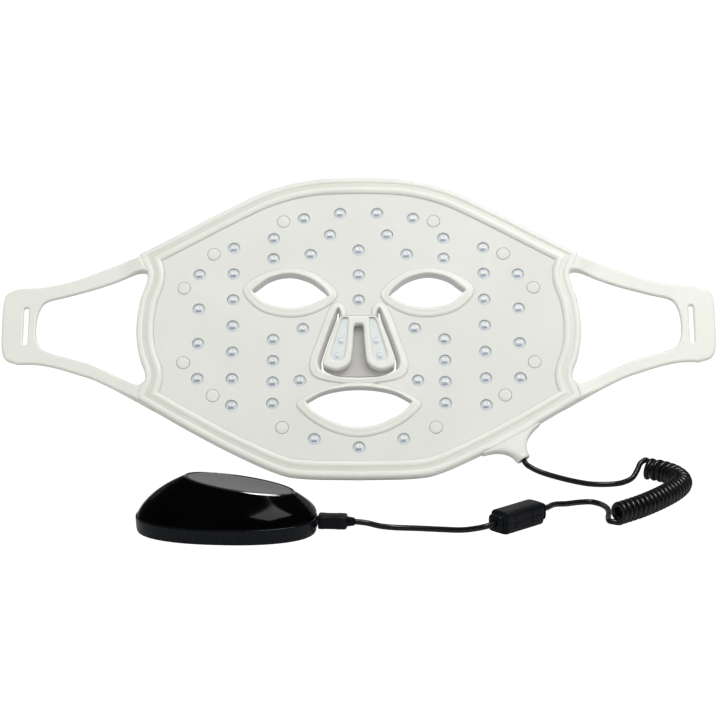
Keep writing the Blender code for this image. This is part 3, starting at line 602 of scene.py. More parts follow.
# %% [markdown]
# The adhesive that holds the face panel down is squeezed out into the groove, where it
# shows as a faintly yellow band just below the rim. It is a low cushion section.

# %% The bead of adhesive in the groove
SEAL_PROFILE = [(3.3, 5.4), (3.3, 6.72), (3.7, 6.7), (4.3, 6.66), (5.1, 6.66), (5.7, 6.7), (6.05, 6.72),
                (6.05, 5.4), (3.3, 5.4)]
points, faces = rim(outer_edge, inner_edge, [(d / RIM_WIDTH, h) for d, h in SEAL_PROFILE])
seal = add_mesh("adhesive_seal", on_mask(points), faces, SEAL, replaces=["perimeter_seal"])
even_shading(tidy(seal), 60)

# %% [markdown]
# ## The face panel
# A sheet of grained silicone lies inside the rim. It is flat, with softly rolled edges
# round each window, stud and opening, so its outline and all its holes are given to
# one function that rolls the edges and fills the middle.

# %% The grained panel with its windows
def grown(loop, distance):
    """A loop moved outwards by a distance, whichever way it is walked."""
    return offset(loop, -distance if signed_area(loop) > 0 else distance)


holes = [grown(o, 0.02) for o in (eye_rim, flipped(eye_rim), face_hole)]
holes += [circle(u, v, WINDOW) for p in strips.values() for u, v in p]
holes += [circle(u, v, STUD + 0.15) for u, v in studs]
points, faces = slab([grown(inner_edge, -0.03)] + holes, 3.6, 5.6, 0.2, steps=3, margin=0.3)
panel = add_mesh("panel_with_windows", on_mask(points), faces, PANEL, replaces=["face_panel"])
even_shading(tidy(panel), 50)
print("panel:", len(panel.data.polygons), "faces,", len(holes), "holes")


# %% [markdown]
# ## Round things
# Studs and lights are turned shapes that come in dozens, so one is worked out as an
# array and then added to every place at once.

# %% Turned shapes, copied to many places
def turned(profile, sides=28):
    """A surface of revolution: each (radius, height) turned about the middle, tip closed."""
    turn = np.linspace(0, 2 * math.pi, sides, endpoint=False)
    rings = [np.stack([r * np.cos(turn), r * np.sin(turn), np.full(sides, h)], 1) for r, h in profile]
    points = np.vstack(rings + [[(0.0, 0.0, profile[-1][1])]])
    faces = [tuple(f) for f in grid_faces(len(profile), sides)]
    last, tip = (len(profile) - 1) * sides, len(profile) * sides
    return points, faces + [(last + k, last + (k + 1) % sides, tip) for k in range(sides)]


def block(width, length, low, high, u=0.0, v=0.0, round_=0.3):
    """A small rounded slab, as on a circuit: width across, length up."""
    turn = np.linspace(0, 2 * math.pi, 16, endpoint=False) + math.pi / 16
    corner = np.stack([np.cos(turn), np.sin(turn)], 1)
    loop = np.sign(corner) * (width / 2 - round_, length / 2 - round_) + round_ * corner + (u, v)
    return slab([loop], low, high, min(0.15, (high - low) / 3), 2, 0.05)


def copied(shape, places):
    """One shape's points and faces at many (u, v) places."""
    points, faces = shape
    places = np.column_stack([np.asarray(places, float), np.zeros(len(places))])
    everywhere = (points[None] + places[:, None]).reshape(-1, 3)
    return everywhere, [tuple(i + k * len(points) for i in f) for k in range(len(places)) for f in faces]


stud_shape = turned([(3.7, 2.3), (3.7, 5.35), (3.6, 5.62), (3.35, 5.82), (2.9, 5.92), (1.6, 5.98)])
for number, place in enumerate(studs):
    points, faces = copied(stud_shape, [place])
    name = f"{number + 1:02d}"
    stud = add_mesh(f"stud_{name}", on_mask(points), faces, PANEL, replaces=[f"bonding_stud_{name}"])
    even_shading(tidy(stud), 60)

# %% [markdown]
# ## The lights
# Each light is a small chip on a flexible ribbon under a clear silicone dome. Clear
# domes could be ray-traced glass, but a thin veil whose strength follows the dome's own
# UV map stays clean in any renderer. Its middle is clear; its edge, its upper side and its
# lower left are bluish painted shade, in place of the darkening that a clear dome shows there.
# Under it lie a white package, a tan die and a dark bar that is painted shade below the package.

# %% Finishes of the lights
def flat_finish(name, light, dark, scale, roughness, depth=0.00001, **constants):
    """Two close tones in soft noise, with a faint bump of the same noise."""
    m, place = start(name)
    grain = noise(place, scale, 3.0)
    return settle(m, place, grain.ramp(0.3, 0.7).between(dark, light), roughness - 0.05 + 0.1 * grain,
                  bump(place, grain, depth), **constants)


def dome_finish():
    """A bluish veil of painted shade: strong at the dome's rim, towards its top and at its lower left, clear
    in the middle.
    """
    m, place = start("clear_dome")
    spot = place.node("ShaderNodeUVMap", {"uv_map": "dome"})
    parts = spot.node("ShaderNodeSeparateXYZ", None, {0: spot})
    across, up = parts - 0.5, parts.node("ShaderNodeSeparateXYZ", None, {0: spot}, output=1) - 0.5
    radius = (across * across + up * up).sum("POWER", 0.5) * 2
    # Painted shade of the clear dome: a darker rim in place of the edge darkening of glass, and shade on its
    # upper side and its lower left.
    painted_rim_shade = radius.ramp(0.55, 0.95)
    painted_top_shade = painted_rim_shade * (up - 0.35 * across).ramp(0.05, 0.45)
    painted_foot_shade = painted_rim_shade * (-0.5 * up - across).ramp(0.1, 0.45)
    veil = 0.05 + 0.06 * painted_rim_shade + 0.13 * painted_top_shade + 0.07 * painted_foot_shade
    tone = (painted_top_shade + 0.6 * painted_foot_shade).between((0.72, 0.78, 0.81), (0.52, 0.58, 0.66))
    shader = m.node_tree.nodes["Principled BSDF"]
    m.node_tree.links.new(veil.socket, shader.inputs["Alpha"])
    return settle(m, place, tone, 0.15, Specular_IOR_Level=0.3)


DOME = dome_finish()
PACKAGE = flat_finish("white_package", (0.84, 0.84, 0.82), (0.80, 0.80, 0.79), 900.0, 0.5)
DIE = flat_finish("tan_die", (0.50, 0.47, 0.42), (0.42, 0.39, 0.35), 1500.0, 0.35)
# The dark bar under each chip is painted shade below the package.
SHADE_BAR = flat_finish("painted_shade_bar", (0.29, 0.32, 0.41), (0.24, 0.27, 0.35), 1500.0, 0.4)
SEAT = flat_finish("pale_seat", (0.66, 0.71, 0.74), (0.62, 0.67, 0.70), 700.0, 0.5)
FILM = flat_finish("circuit_film", (0.86, 0.90, 0.92), (0.80, 0.85, 0.88), 300.0, 0.4)
INSERT = flat_finish("milky_insert", (0.655, 0.70, 0.69), (0.62, 0.665, 0.655), 500.0, 0.35)

# %% One light, and the strips that carry them
def light_shape(size, low, top):
    """(points, faces, finish of each face) of one light of this radius."""
    profile = [(1.0, 0.0), (1.015, 0.55), (1.0, 0.72), (0.95, 0.86), (0.84, 0.95), (0.62, 0.99), (0.3, 1.0)]
    dome = turned([(size * r, low + (top - low) * h) for r, h in profile], 28)
    seat = low + 0.42 * (top - low)
    chip = seat + 0.16 * (top - low)
    package = block(1.0 * size, 0.56 * size, low, chip, 0.02 * size, 0.22 * size)
    die = turned([(0.1 * size, chip), (0.1 * size, chip + 0.06)], 14)
    # A dark block below the package: painted shade.
    shade_bar = block(0.9 * size, 0.27 * size, low, chip - 0.1, -0.05 * size, -0.3 * size)
    die = (die[0] + (0.1 * size, 0.3 * size, 0), die[1])
    disc = turned([(0.97 * size, low + 0.01), (0.97 * size, seat - 0.05), (0.93 * size, seat)], 28)
    parts = [dome, package, die, shade_bar, disc]
    points, faces = merged(parts)
    return points, faces, np.repeat([0, 1, 2, 3, 5], [len(f) for _, f in parts])


def add_lights(name, places, size, low, top, node, body="root"):
    """One strip, its ribbon and all its lights as one piece; size is a light's radius, and its
    foot and tip stand at low and top."""
    points, faces, kinds = light_shape(size, low, top)
    everywhere, all_faces = copied((points, faces), places)
    spots = np.tile(points[:, :2] / (2.03 * size) + 0.5, (len(places), 1))
    line = run(places, 8 * len(places)) if len(places) > 2 else even(np.asarray(places, float), 8)
    along = np.gradient(line, axis=0)
    side = 1.4 * along[:, ::-1] * (-1, 1) / np.linalg.norm(along, axis=1, keepdims=True)
    levels = ((side, low - 0.3), (side, low), (-side, low), (-side, low - 0.3))
    band = np.vstack([np.column_stack([line + s, np.full(len(line), h)]) for s, h in levels])
    band_faces = grid_faces(4, len(line), wrap_rows=True, wrap_columns=False)
    n = len(line)
    ends = [(0, n, 2 * n, 3 * n), (4 * n - 1, 3 * n - 1, 2 * n - 1, n - 1)]
    all_faces += [tuple(int(i) + len(everywhere) for i in f) for f in list(band_faces) + ends]
    kinds = np.concatenate([np.tile(kinds, len(places)), np.full(len(band_faces) + 2, 4)])
    points = on_mask(np.vstack([everywhere, band]))
    obj = add_mesh(name, points, all_faces, [DOME, PACKAGE, DIE, SHADE_BAR, FILM, SEAT], body, [node], kinds)
    spots = np.vstack([spots, np.full((len(band), 2), 0.5)])
    loops = np.empty(len(obj.data.loops), np.int32)
    obj.data.loops.foreach_get("vertex_index", loops)
    obj.data.uv_layers.new(name="dome").data.foreach_set("uv", spots[loops].ravel())
    even_shading(tidy(obj, None), 45)


FACE_LIGHT, NOSE_LIGHT = (3.44, 3.3, 6.5), (2.1, 5.35, 6.25)
for name, places in strips.items():
    add_lights(f"lights_{name}", places, *FACE_LIGHT, f"led_strip_{name}")
print("light strips:", len(strips))

# %% [markdown]
# ## The nose flap
# The flap hangs from a thin fold between the eyes. It is a frame of rounded beads: a
# bridge, two legs that each hold a milky insert with two small lights, and an open
# channel between them that flares at its foot.

# %% Bridge and legs, floor and inserts
FLAP_SIDE = [(10.1, 97.5), (12.9, 93.6), (16.2, 84.2), (18.6, 76.8), (20.5, 70.0)]
FLAP_FOOT = [(20.5, 70.0), (19.8, 67.4), (16.4, 65.6), (13.2, 64.9), (10.4, 65.3)]
SHEET_FOOT = [(20.5, 70.0), (20.2, 66.0), (16.4, 63.6), (12.6, 62.35), (9.4, 61.75)]
CHANNEL = [(10.4, 65.3), (7.6, 66.6), (5.6, 68.6), (4.3, 71.6), (3.4, 80), (2.95, 88), (2.65, 91.4),
           (1.8, 92.7), (0, 92.9)]
POCKET = [(6.5, 96.6), (8.9, 96.6), (11.0, 91.0), (13.7, 82), (15.7, 74.4), (15.3, 71.4), (12.8, 70.2),
          (9.8, 70.8), (8.5, 73.4), (7.3, 81.0), (6.6, 90.5)]
flap_edge = run([(0, 98.1), (5, 98.1), (9.0, 98.1), (10.2, 97.5)] + FLAP_SIDE[1:-1] + FLAP_FOOT, 130)
flap_half = half_of(flap_edge, run(CHANNEL, 70))
pocket = ring_through(POCKET, (0, 40), (6, 40))
sheet_edge = run([(0, 98.0), (5, 98.0), (9.0, 98.0), (10.2, 97.3)] + FLAP_SIDE[1:-1] + SHEET_FOOT, 130)
base_half = half_of(sheet_edge, np.linspace(SHEET_FOOT[-1], (0, 61.4), 12))
legs = slab([whole(flap_half), pocket, flipped(pocket)], 1.3, 6.75, 1.25, steps=6, margin=0.08)
gully = slab([grown(whole(base_half), -0.45)], 0.06, 1.6, 0.3, steps=2, margin=0.3)
points, faces = merged([legs, gully])
# The gully's front faces, the channel floor, take the painted shade.
front = [all(gully[0][int(i), 2] > 1.2 for i in f) for f in gully[1]]
kinds = np.concatenate([np.zeros(len(legs[1])), front])
flap = add_mesh("flap_with_channel", on_mask(points), faces, [SKIN, CHANNEL_SHADE], "nose_flap", ["nose_flap"],
                kinds)
even_shading(tidy(flap), 50)
for side, name in ((1, "right"), (-1, "left")):
    outline = pocket if side > 0 else flipped(pocket)
    points, faces = slab([grown(outline, 0.25)], 1.7, 5.6, 0.3, steps=3, margin=0.3)
    insert = add_mesh(f"insert_{name}", on_mask(points), faces, INSERT, "nose_flap",
                      [f"nose_insert_{name}"])
    even_shading(tidy(insert), 50)
    places = [(side * u, v) for u, v in NOSE_LIGHTS]
    add_lights(f"lights_nose_{name}", places, *NOSE_LIGHT, f"led_strip_nose_{name}", "nose_flap")

# %% [markdown]
# ## The ear loops
# Each loop is a flat band of silicone that grows out of the mask's corners and ends in
# a tab with a slot. It flexes where it leaves the mask. Here the mesh is one fixed piece,
# on no body, with extra rows of points cut across it there.

# %% The loops, from the rim to the tab
ARM_OUTER = [(116.5, 140.1), (132.3, 133.6), (149.7, 126.4), (161.3, 121.4), (172.9, 117.8),
             (184.5, 115.7), (195, 115.3)]
TAB_EDGE = [(195, 115.3), (202.2, 112.4), (204.6, 106), (204.9, 91), (204.4, 77), (201.8, 70.3),
            (195, 67.4)]
ARM_INNER = [(195, 67.4), (184.5, 67.4), (173, 65.4), (161.3, 62.2), (149.7, 58.5), (132.3, 50),
             (116.5, 41.0)]
LOOP = [(121.9, 121), (122.5, 125.3), (127.7, 125.6), (138, 120.7), (149.7, 116.1), (167.1, 110.5),
        (178.5, 107.2), (182.6, 103.4), (184.8, 95.7), (184.9, 85), (182.2, 78.2), (175.5, 74.4),
        (155.5, 69.1), (143.9, 64.2), (132.3, 58.9), (125.9, 56.3), (121.8, 59)]
SLOT_U, SLOT_V, SLOT_WIDTH, SLOT_LENGTH = 191.2, 91.3, 2.6, 23.0
ARM_BACK = 2.0
side_line = run(SIDE_EDGE, 300)[::-1]


def cut_across(points, faces, places):
    """The same surface with a row of points where each plane u = place crosses it."""
    bm = bmesh.new()
    verts = [bm.verts.new(p) for p in points]
    for f in faces:
        bm.faces.new([verts[int(i)] for i in f])
    bmesh.ops.remove_doubles(bm, verts=bm.verts, dist=0.01)
    for place in places:
        everything = bm.verts[:] + bm.edges[:] + bm.faces[:]
        bmesh.ops.bisect_plane(bm, geom=everything, plane_co=(place, 0, 0), plane_no=(1, 0, 0))
    bmesh.ops.recalc_face_normals(bm, faces=bm.faces)
    bm.verts.index_update()
    result = np.array([v.co[:] for v in bm.verts]), [[v.index for v in f.verts] for f in bm.faces]
    bm.free()
    return result


def thickened(points):
    """The band swells from its own thickness to the rim's as it nears the outer edge."""
    past = points[:, 0] - np.interp(points[:, 1], side_line[:, 1], side_line[:, 0])
    root = 1 - smooth_step(past / 17)
    inside = np.clip(-past / 2.0, 0, 1)
    front = ARM_FRONT + 2 * root - 2.2 * inside
    low = ARM_BACK - 2 * root + 0.5 * inside
    share = (points[:, 2] - ARM_BACK) / (ARM_FRONT - ARM_BACK)
    return np.column_stack([points[:, :2], low + share * (front - low)])


slot = np.vstack([circle(SLOT_U, SLOT_V + s * (SLOT_LENGTH - SLOT_WIDTH) / 2, SLOT_WIDTH / 2, 24)[a:b]
                  for s, a, b in ((1, 0, 13), (-1, 12, 24))])
band = np.vstack([run(ARM_OUTER, 90)[:-1], run(TAB_EDGE, 60)[:-1], run(ARM_INNER, 90)])
loop_hole = run(LOOP, 190)
points, faces = slab([band, loop_hole, slot], ARM_BACK, ARM_FRONT, 1.25, steps=5, margin=0.3)
points, faces = cut_across(points, faces, np.arange(121, 168, 2.0))
points = thickened(points)
for side, name, lift in ((1, "right", 1.8), (-1, "left", 1.2)):
    # Soft loops hang a little unevenly: each rises towards its tab, the lower arm a little more.
    shape = faces if side > 0 else [f[::-1] for f in faces]
    rise = smooth_step((points[:, 0] - 128) / 60) * (lift + 0.02 * (HINGE_V - points[:, 1]))
    hung = points * (side, 1, 1) + rise[:, None] * (0, 1, 0)
    loop = add_mesh(f"soft_loop_{name}", on_mask(hung), shape, SKIN, None)
    even_shading(loop, 50)
    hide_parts(f"ear_loop_{name}")
    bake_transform(loop)
print("ear loop:", len(faces), "faces")

# %% [markdown]
# ## The cable boot
# Where the cord leaves, the rim flares into a trumpet that grips a short dark sleeve.
# Its sections are ovals whose width grows quickly towards the mask.

# %% Boot and sleeve
EXIT_TIP, EXIT_H, EXIT_AIM = np.array([92.6, 11.1]), 3.6, math.radians(-60.9)
BOOT = [(0.0, 4.3, 3.9), (3, 4.5, 3.8), (6, 5.6, 3.7), (9, 8.2, 3.55), (11.5, 12.4, 3.45), (13.6, 19.0, 3.35)]
aim = np.array([math.cos(EXIT_AIM), math.sin(EXIT_AIM)])


def rounded_oblong(turn, power):
    """The cosine and the sine of each turn, raised to a power up to 1: below 1 they fill out the
    corners of an oval."""
    return (np.sign(wave) * np.abs(wave) ** power for wave in (np.cos(turn), np.sin(turn)))


def along_exit(sections, sides=72):
    """Ovals along the cord's way out: (distance back from the tip, half width, half depth)."""
    turn = np.linspace(0, 2 * math.pi, sides, endpoint=False)
    back, a, b = np.asarray(sections, float).T[..., None]
    power = 2 / (2 + 5 * smooth_step(back / 12))
    cosine, sine = rounded_oblong(turn, power)
    across = a * cosine
    u = EXIT_TIP[0] - back * aim[0] - across * aim[1]
    v = EXIT_TIP[1] - back * aim[1] + across * aim[0]
    h = EXIT_H + b * sine
    return np.stack([u, v, h], -1).reshape(-1, 3), grid_faces(len(sections), sides)


TRANSLUCENT = silicone("thin_silicone", (0.71, 0.725, 0.68), (0.67, 0.685, 0.64), 1500.0, 0.00002, 0.4)
SLEEVE = flat_finish("cable_sleeve", (0.46, 0.475, 0.47), (0.40, 0.415, 0.41), 900.0, 0.4)
outside = [tuple(s) for s in run(BOOT, 40)[2:]]
mouth_of_boot = [(7.0, 2.9, 2.9), (1.0, 2.9, 2.9), (0.3, 2.95, 2.95), (0.0, 3.2, 3.15),
                 (-0.15, 3.5, 3.35), (0.0, 3.95, 3.65), (0.3, 4.25, 3.85)]
points, faces = along_exit(mouth_of_boot + outside + [(15.0, 18.0, 2.6)])
boot = add_mesh("trumpet_boot", on_mask(points), faces, TRANSLUCENT, replaces=["cable_boot"])
even_shading(tidy(boot), 60)
sleeve_rows = [(0.55, 1.62, 1.62), (0.4, 1.8, 1.8), (0.4, 2.3, 2.3), (0.6, 2.55, 2.55), (1.2, 2.6, 2.6),
               (13.2, 2.6, 2.6), (13.2, 1.6, 1.6), (21.5, 1.6, 1.6)]
points, faces = along_exit(sleeve_rows, 40)
sleeve = add_mesh("cord_sleeve", on_mask(points), faces, SLEEVE, replaces=["cable_core"])
even_shading(tidy(sleeve), 50)

# %% [markdown]
# ## The cord
# The cord is one length of soft black jacket: a lead from the boot, a sprung coil whose
# turns touch, and a run through the ferrite clip to the controller's plug. The coil is a
# helix carried along a curve; its pitch opens in the bend, as a real coil's does.

# %% The cord's route
FOOT_XY, UP = np.array([foot[0], foot[1], 0.0]), np.array([0, 0, 1.0])
LEAD = [(95.9, 0.2, 8.0), (99.6, -1.6, 6.4), (104.2, -3.3, 5.0), (110.5, -5.8, 3.7), (118.5, -9.2, 2.5),
        (127.2, -12.6, 1.7), (134.4, -14.0, 1.6), (141.5, -13.2, 1.6), (147.2, -10.4, 1.7),
        (152.6, -6.6, 3.0), (155.8, -3.0, 6.4), (157.9, -0.2, 9.8)]
COIL = [(160.6, 2.2), (167.3, -2.0), (173.0, -8.6), (176.8, -18.0), (177.2, -29.0), (172.6, -41.0),
        (163.4, -56.0), (150.8, -72.4), (136.2, -87.4)]
RUN = [(134.5, -89.2, 1.6), (132.4, -86.4, 2.2), (132.0, -83.0, 2.2), (132.5, -77.0, 1.6),
       (133.6, -69.0, 1.6), (133.4, -60.0, 1.6), (130.5, -52.5, 1.6), (125.6, -49.0, 1.8),
       (118.8, -52.0, 2.4), (111.8, -60.0, 4.0),
       (104.6, -66.2, 5.4), (98.5, -76.4, 6.2), (83.3, -91.6, 6.2), (67.6, -106.6, 6.0), (60.6, -106.0, 4.2),
       (53.0, -102.0, 2.2), (43.0, -98.8, 1.6), (31.0, -96.8, 1.6), (19.0, -96.6, 2.0), (11.0, -98.4, 3.4),
       (4.0, -100.1, 5.6), (-2.3, -100.2, 6.4)]
CORD_RADIUS, COIL_RADIUS, COIL_HEIGHT, TURNS, PER_TURN = 1.55, 4.72, 6.4, 26.5, 28


def on_floor(points):
    """Places in mm measured from the mask's foot line, as places in the frame."""
    return FOOT_XY + MM * np.asarray(points, float)


def sprung_coil():
    """A helix round the coil's middle line: it starts at the top, moving to the back, and
    turns on by one turn per pitch, where the pitch grows with the middle line's bend."""
    middle = run(COIL, 2000)
    along = np.gradient(middle, axis=0)
    step = np.linalg.norm(along, axis=1)
    along /= step[:, None]
    bend = np.abs(np.gradient(np.unwrap(np.arctan2(along[:, 1], along[:, 0])))) / step
    phase = np.cumsum(step * (1 - 0.8 * COIL_RADIUS * bend))
    phase = (phase - phase[0]) / (phase[-1] - phase[0]) * TURNS
    want = np.linspace(0, TURNS, int(TURNS * PER_TURN) + 1)
    place = np.stack([np.interp(want, phase, middle[:, k]) for k in (0, 1)], 1)
    way = np.stack([np.interp(want, phase, along[:, k]) for k in (0, 1)], 1)
    way /= np.linalg.norm(way, axis=1, keepdims=True)
    turn = (2 * math.pi * want)[:, None]
    out = np.hstack([-np.sin(turn) * way[:, 1:], np.sin(turn) * way[:, :1], np.cos(turn)])
    print(f"coil: {step.sum():.0f} mm long, pitch about {step.sum() / TURNS:.2f} mm")
    return np.column_stack([place, np.full(len(place), COIL_HEIGHT)]) + COIL_RADIUS * out, out


inside_boot = on_mask([(*(EXIT_TIP - b * aim), EXIT_H) for b in (5.0, 2.0, -0.5, -3.0)])
lead = np.vstack([inside_boot, on_floor(LEAD)])
helix, helix_out = sprung_coil()
lead_line = run(np.vstack([lead, on_floor(helix[:1])]) / MM, 140)[:-1] * MM
run_line = run(np.vstack([on_floor(helix[-1:]), on_floor(RUN[1:])]) / MM, 360)[1:] * MM
cord_path = np.vstack([lead_line, on_floor(helix), run_line])
up_hint = np.vstack([np.tile(UP, (len(lead_line), 1)), helix_out, np.tile(-UP, (len(run_line), 1))])
cord_length = np.linalg.norm(np.diff(cord_path, axis=0), axis=1).sum()
print(f"cord: {cord_length:.3f} m, {len(cord_path)} places")


def tube(path, radius, hint, sides=14):
    """A round tube: a circle square to the path at each place, turned from a hint direction."""
    along = np.gradient(path, axis=0)
    along /= np.linalg.norm(along, axis=1, keepdims=True)
    first = hint - (hint * along).sum(1, keepdims=True) * along
    first /= np.linalg.norm(first, axis=1, keepdims=True)
    second = np.cross(along, first)
    turn = np.linspace(0, 2 * math.pi, sides, endpoint=False)[:, None]
    ring = np.cos(turn)[None] * first[:, None] + np.sin(turn)[None] * second[:, None]
    n = len(path)
    points = (path[:, None] + radius * ring).reshape(-1, 3)
    ends = [tuple(range(sides))[::-1], tuple(range((n - 1) * sides, n * sides))]
    return points, list(grid_faces(n, sides)) + ends


# %% [markdown]
# Black plastics differ in how sharply they shine, so each finish keeps its tone near
# black and differs in roughness, grain and coat.

# %% The dark finishes
JACKET = flat_finish("soft_jacket", (0.006, 0.007, 0.009), (0.002, 0.0025, 0.003), 700.0, 0.3, 0.00001,
                     Specular_IOR_Level=0.3)
MATTE = flat_finish("grained_black_plastic", (0.004, 0.0055, 0.008), (0.0015, 0.002, 0.0035), 1600.0, 0.5,
                    0.00004, Specular_IOR_Level=0.16)
POLISHED = (0.001, 0.001, 0.0012), (0.0006, 0.0006, 0.0008), 30.0
GLOSS = flat_finish("polished_black_plastic", *POLISHED, 0.1, 0.0, Specular_IOR_Level=0.03)
LIP_GLOSS = flat_finish("polished_lip", *POLISHED, 0.12, 0.0, Specular_IOR_Level=1.0)
BASE_GLOSS = flat_finish("dark_base_plastic", (0.003, 0.0045, 0.007), (0.0015, 0.0025, 0.004), 400.0, 0.25,
                         0.00001, Specular_IOR_Level=0.16)
SATIN = flat_finish("satin_key", (0.105, 0.106, 0.11), (0.088, 0.089, 0.093), 2500.0, 0.45, 0.00002,
                    Specular_IOR_Level=0.4)
STEEL = flat_finish("plated_steel", (0.78, 0.66, 0.42), (0.66, 0.56, 0.36), 1200.0, 0.28, Metallic=1.0)
BOARD = flat_finish("green_circuit_board", (0.02, 0.13, 0.05), (0.012, 0.085, 0.035), 260.0, 0.35, 0.00003,
                    Coat_Weight=0.4)
CELL = flat_finish("battery_wrap", (0.10, 0.20, 0.42), (0.07, 0.15, 0.33), 120.0, 0.3)
CORE = flat_finish("ferrite_grey", (0.045, 0.045, 0.05), (0.025, 0.025, 0.028), 2200.0, 0.6, 0.00006)
RUBBER = flat_finish("foot_rubber", (0.02, 0.02, 0.02), (0.012, 0.012, 0.012), 1800.0, 0.8, 0.00008)

points, faces = tube(cord_path, CORD_RADIUS * MM, up_hint)
cord = add_mesh("cord", points, faces, JACKET, replaces=["cord_lead", "cord_coil", "cord_run"])
tidy(cord, 0.000001)

# %% [markdown]
# ## The ferrite clip
# Two moulded half shells close on the cord round a split ferrite core. Each is a half of
# a rounded square carried along the clip, stepped and ribbed at its ends.

# %% The clip's half shells and its cores
low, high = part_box("ferrite_base")
high_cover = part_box("ferrite_cover")[1]
clip_middle = (np.array(low) + np.array([high[0], high[1], high_cover[2]])) / 2
CLIP_TURN = math.radians(44.6)
clip_way = np.array([math.cos(CLIP_TURN), math.sin(CLIP_TURN), 0.0])
clip_side = np.array([-clip_way[1], clip_way[0], 0.0])
clip_centre = on_floor([(83.3, -91.6, 6.2)])[0]
print("clip centre", clip_centre.round(4), "box middle", clip_middle.round(4))
STATIONS = [(-18.0, 3.9, 1.85), (-17.7, 4.35, 1.9), (-16.9, 4.6, 2.1), (-16.7, 4.1, 2.1), (-16.0, 4.1, 2.1),
            (-15.8, 4.65, 2.1), (-14.6, 4.7, 2.1), (-14.3, 5.6, 2.1), (-13.9, 6.05, 2.1),
            (-13.2, 6.2, 2.1), (-11.6, 6.2, 2.2), (-11.5, 6.2, 4.9)]
STATIONS = STATIONS + [(-x, a, b) for x, a, b in STATIONS[::-1]]
CORE_STATIONS = [(-11.2, 4.3, 1.75), (-10.9, 4.6, 1.7), (10.9, 4.6, 1.7), (11.2, 4.3, 1.75)]
PARTING_GAP, SQUARENESS = 0.12, 5


def half_circle(steps):
    turn = np.linspace(0, math.pi, steps + 1)
    return np.stack([np.cos(turn), np.sin(turn)], 1)


def half_tube(stations, outer, inner, sign):
    """Half of a tube along the clip: its outer half outline out and its inner one back, sized at
    each station by (x, outer size, inner size) and closed at both ends."""
    rows = []
    for x, a, b in stations:
        section = np.vstack([outer * a, inner[::-1] * b])
        height = sign * np.maximum(section[:, 1], PARTING_GAP)
        rows.append(np.column_stack([np.full(len(section), x), section[:, 0], height]))
    count = len(rows[0])
    faces = [tuple(f) for f in grid_faces(len(rows), count)]
    for r in (0, len(rows) - 1):
        near, far = r * count, (r + 1) * count - 1
        faces += [(near + k, near + k + 1, far - 1 - k, far - k) for k in range(count // 2 - 1)]
    return np.vstack(rows), faces


def set_along(points, centre, way, side):
    """Places in mm along, across and above a part's own middle, as places in the frame."""
    points = np.asarray(points, float) * MM
    return centre + points[:, :1] * way + points[:, 1:2] * side + points[:, 2:] * UP


def on_clip(points):
    return set_along(points, clip_centre, clip_way, clip_side)


bore, core_arc = half_circle(40), half_circle(32)
shell_outline = bore * (np.abs(bore) ** SQUARENESS).sum(1, keepdims=True) ** (-1 / SQUARENESS)
for sign, name, body in ((-1, "base", "root"), (1, "cover", "ferrite_cover")):
    parts = [half_tube(STATIONS, shell_outline, bore, sign)]
    for x in (-6.5, 6.5):
        latch, latch_faces = block(3.4, 2.6, 0.0, 0.35, round_=0.5)
        turned_out = [latch[:, 0] + x, -6.12 - latch[:, 2], sign * (latch[:, 1] + 1.9)]
        parts.append((np.column_stack(turned_out), latch_faces))
    points, faces = merged(parts)
    shell = add_mesh(f"clip_shell_{name}", on_clip(points), faces, MATTE, body, [f"ferrite_{name}"])
    even_shading(tidy(shell), 35)
    points, faces = half_tube(CORE_STATIONS, core_arc, core_arc, sign)
    core = add_mesh(f"split_core_{name}", on_clip(points), faces, CORE, body, [f"ferrite_core_{name}"])
    even_shading(tidy(core), 35)

# %% [markdown]
# ## The controller
# A low base carries a polished dome that rises in a quarter of an ellipse to an oval
# key. Sections are ovals that grow, shift and tilt with height, so dome, lip and key
# come from one formula.

# %% Base, dome, lip and key
unplug = joints["controller_unplug"]
pad_way = -np.array(unplug["axis"])
pad_side = np.array([-pad_way[1], pad_way[0], 0.0])
pad_centre = on_floor([(-69.5, -94.3, 0.0)])[0]
PAD_LENGTH, PAD_WIDTH, BASE_TOP = 95.6, 58.5, 8.8
KEY_LENGTH, KEY_WIDTH, KEY_TILT = 58.0, 29.0, math.tan(math.radians(8.0))
KEY_AT = np.array([7.0, 1.5, 25.2])
OVAL_SIDES = 144
box_low, box_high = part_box("controller_base")
box_middle = (np.array(box_low) + np.array(box_high)) / 2
print("controller middle", pad_centre.round(4), "box middle", box_middle.round(4))


def on_pad(points):
    """Places in mm, along and across the controller and up, as places in the frame."""
    return set_along(points, pad_centre, pad_way, pad_side)


def ovals(rows, sides=OVAL_SIDES):
    """One oval per row: (length, width, x, y, z, tilt), where tilt lowers the right end."""
    turn = np.linspace(0, 2 * math.pi, sides, endpoint=False)
    length, width, x, y, z, tilt = np.asarray(rows, float).T[..., None]
    power = 2 / (2 + 0.3 * smooth_step((length - KEY_LENGTH) / 30))
    cosine, sine = rounded_oblong(turn, power)
    dx = length / 2 * cosine
    points = np.stack([x + dx, y + width / 2 * sine, z - tilt * dx], -1).reshape(-1, 3)
    return points, grid_faces(len(rows), sides)


def dome_rows(rises, inset=0.0, drop=0.0):
    """The dome's ovals: from the base's oval to the key's by 1 less a power of the rise, so
    the side stands up first and turns in late. The middle and the tilt follow the rise."""
    swell = 1 - rises**1.65
    z = BASE_TOP + 0.3 + (KEY_AT[2] - BASE_TOP - 0.3) * rises - drop
    return np.column_stack([KEY_LENGTH + (PAD_LENGTH - 1.6 - KEY_LENGTH) * swell - 2 * inset,
                            KEY_WIDTH + (PAD_WIDTH - 1.6 - KEY_WIDTH) * swell - 2 * inset,
                            KEY_AT[0] * rises, KEY_AT[1] * rises, z, KEY_TILT * rises])


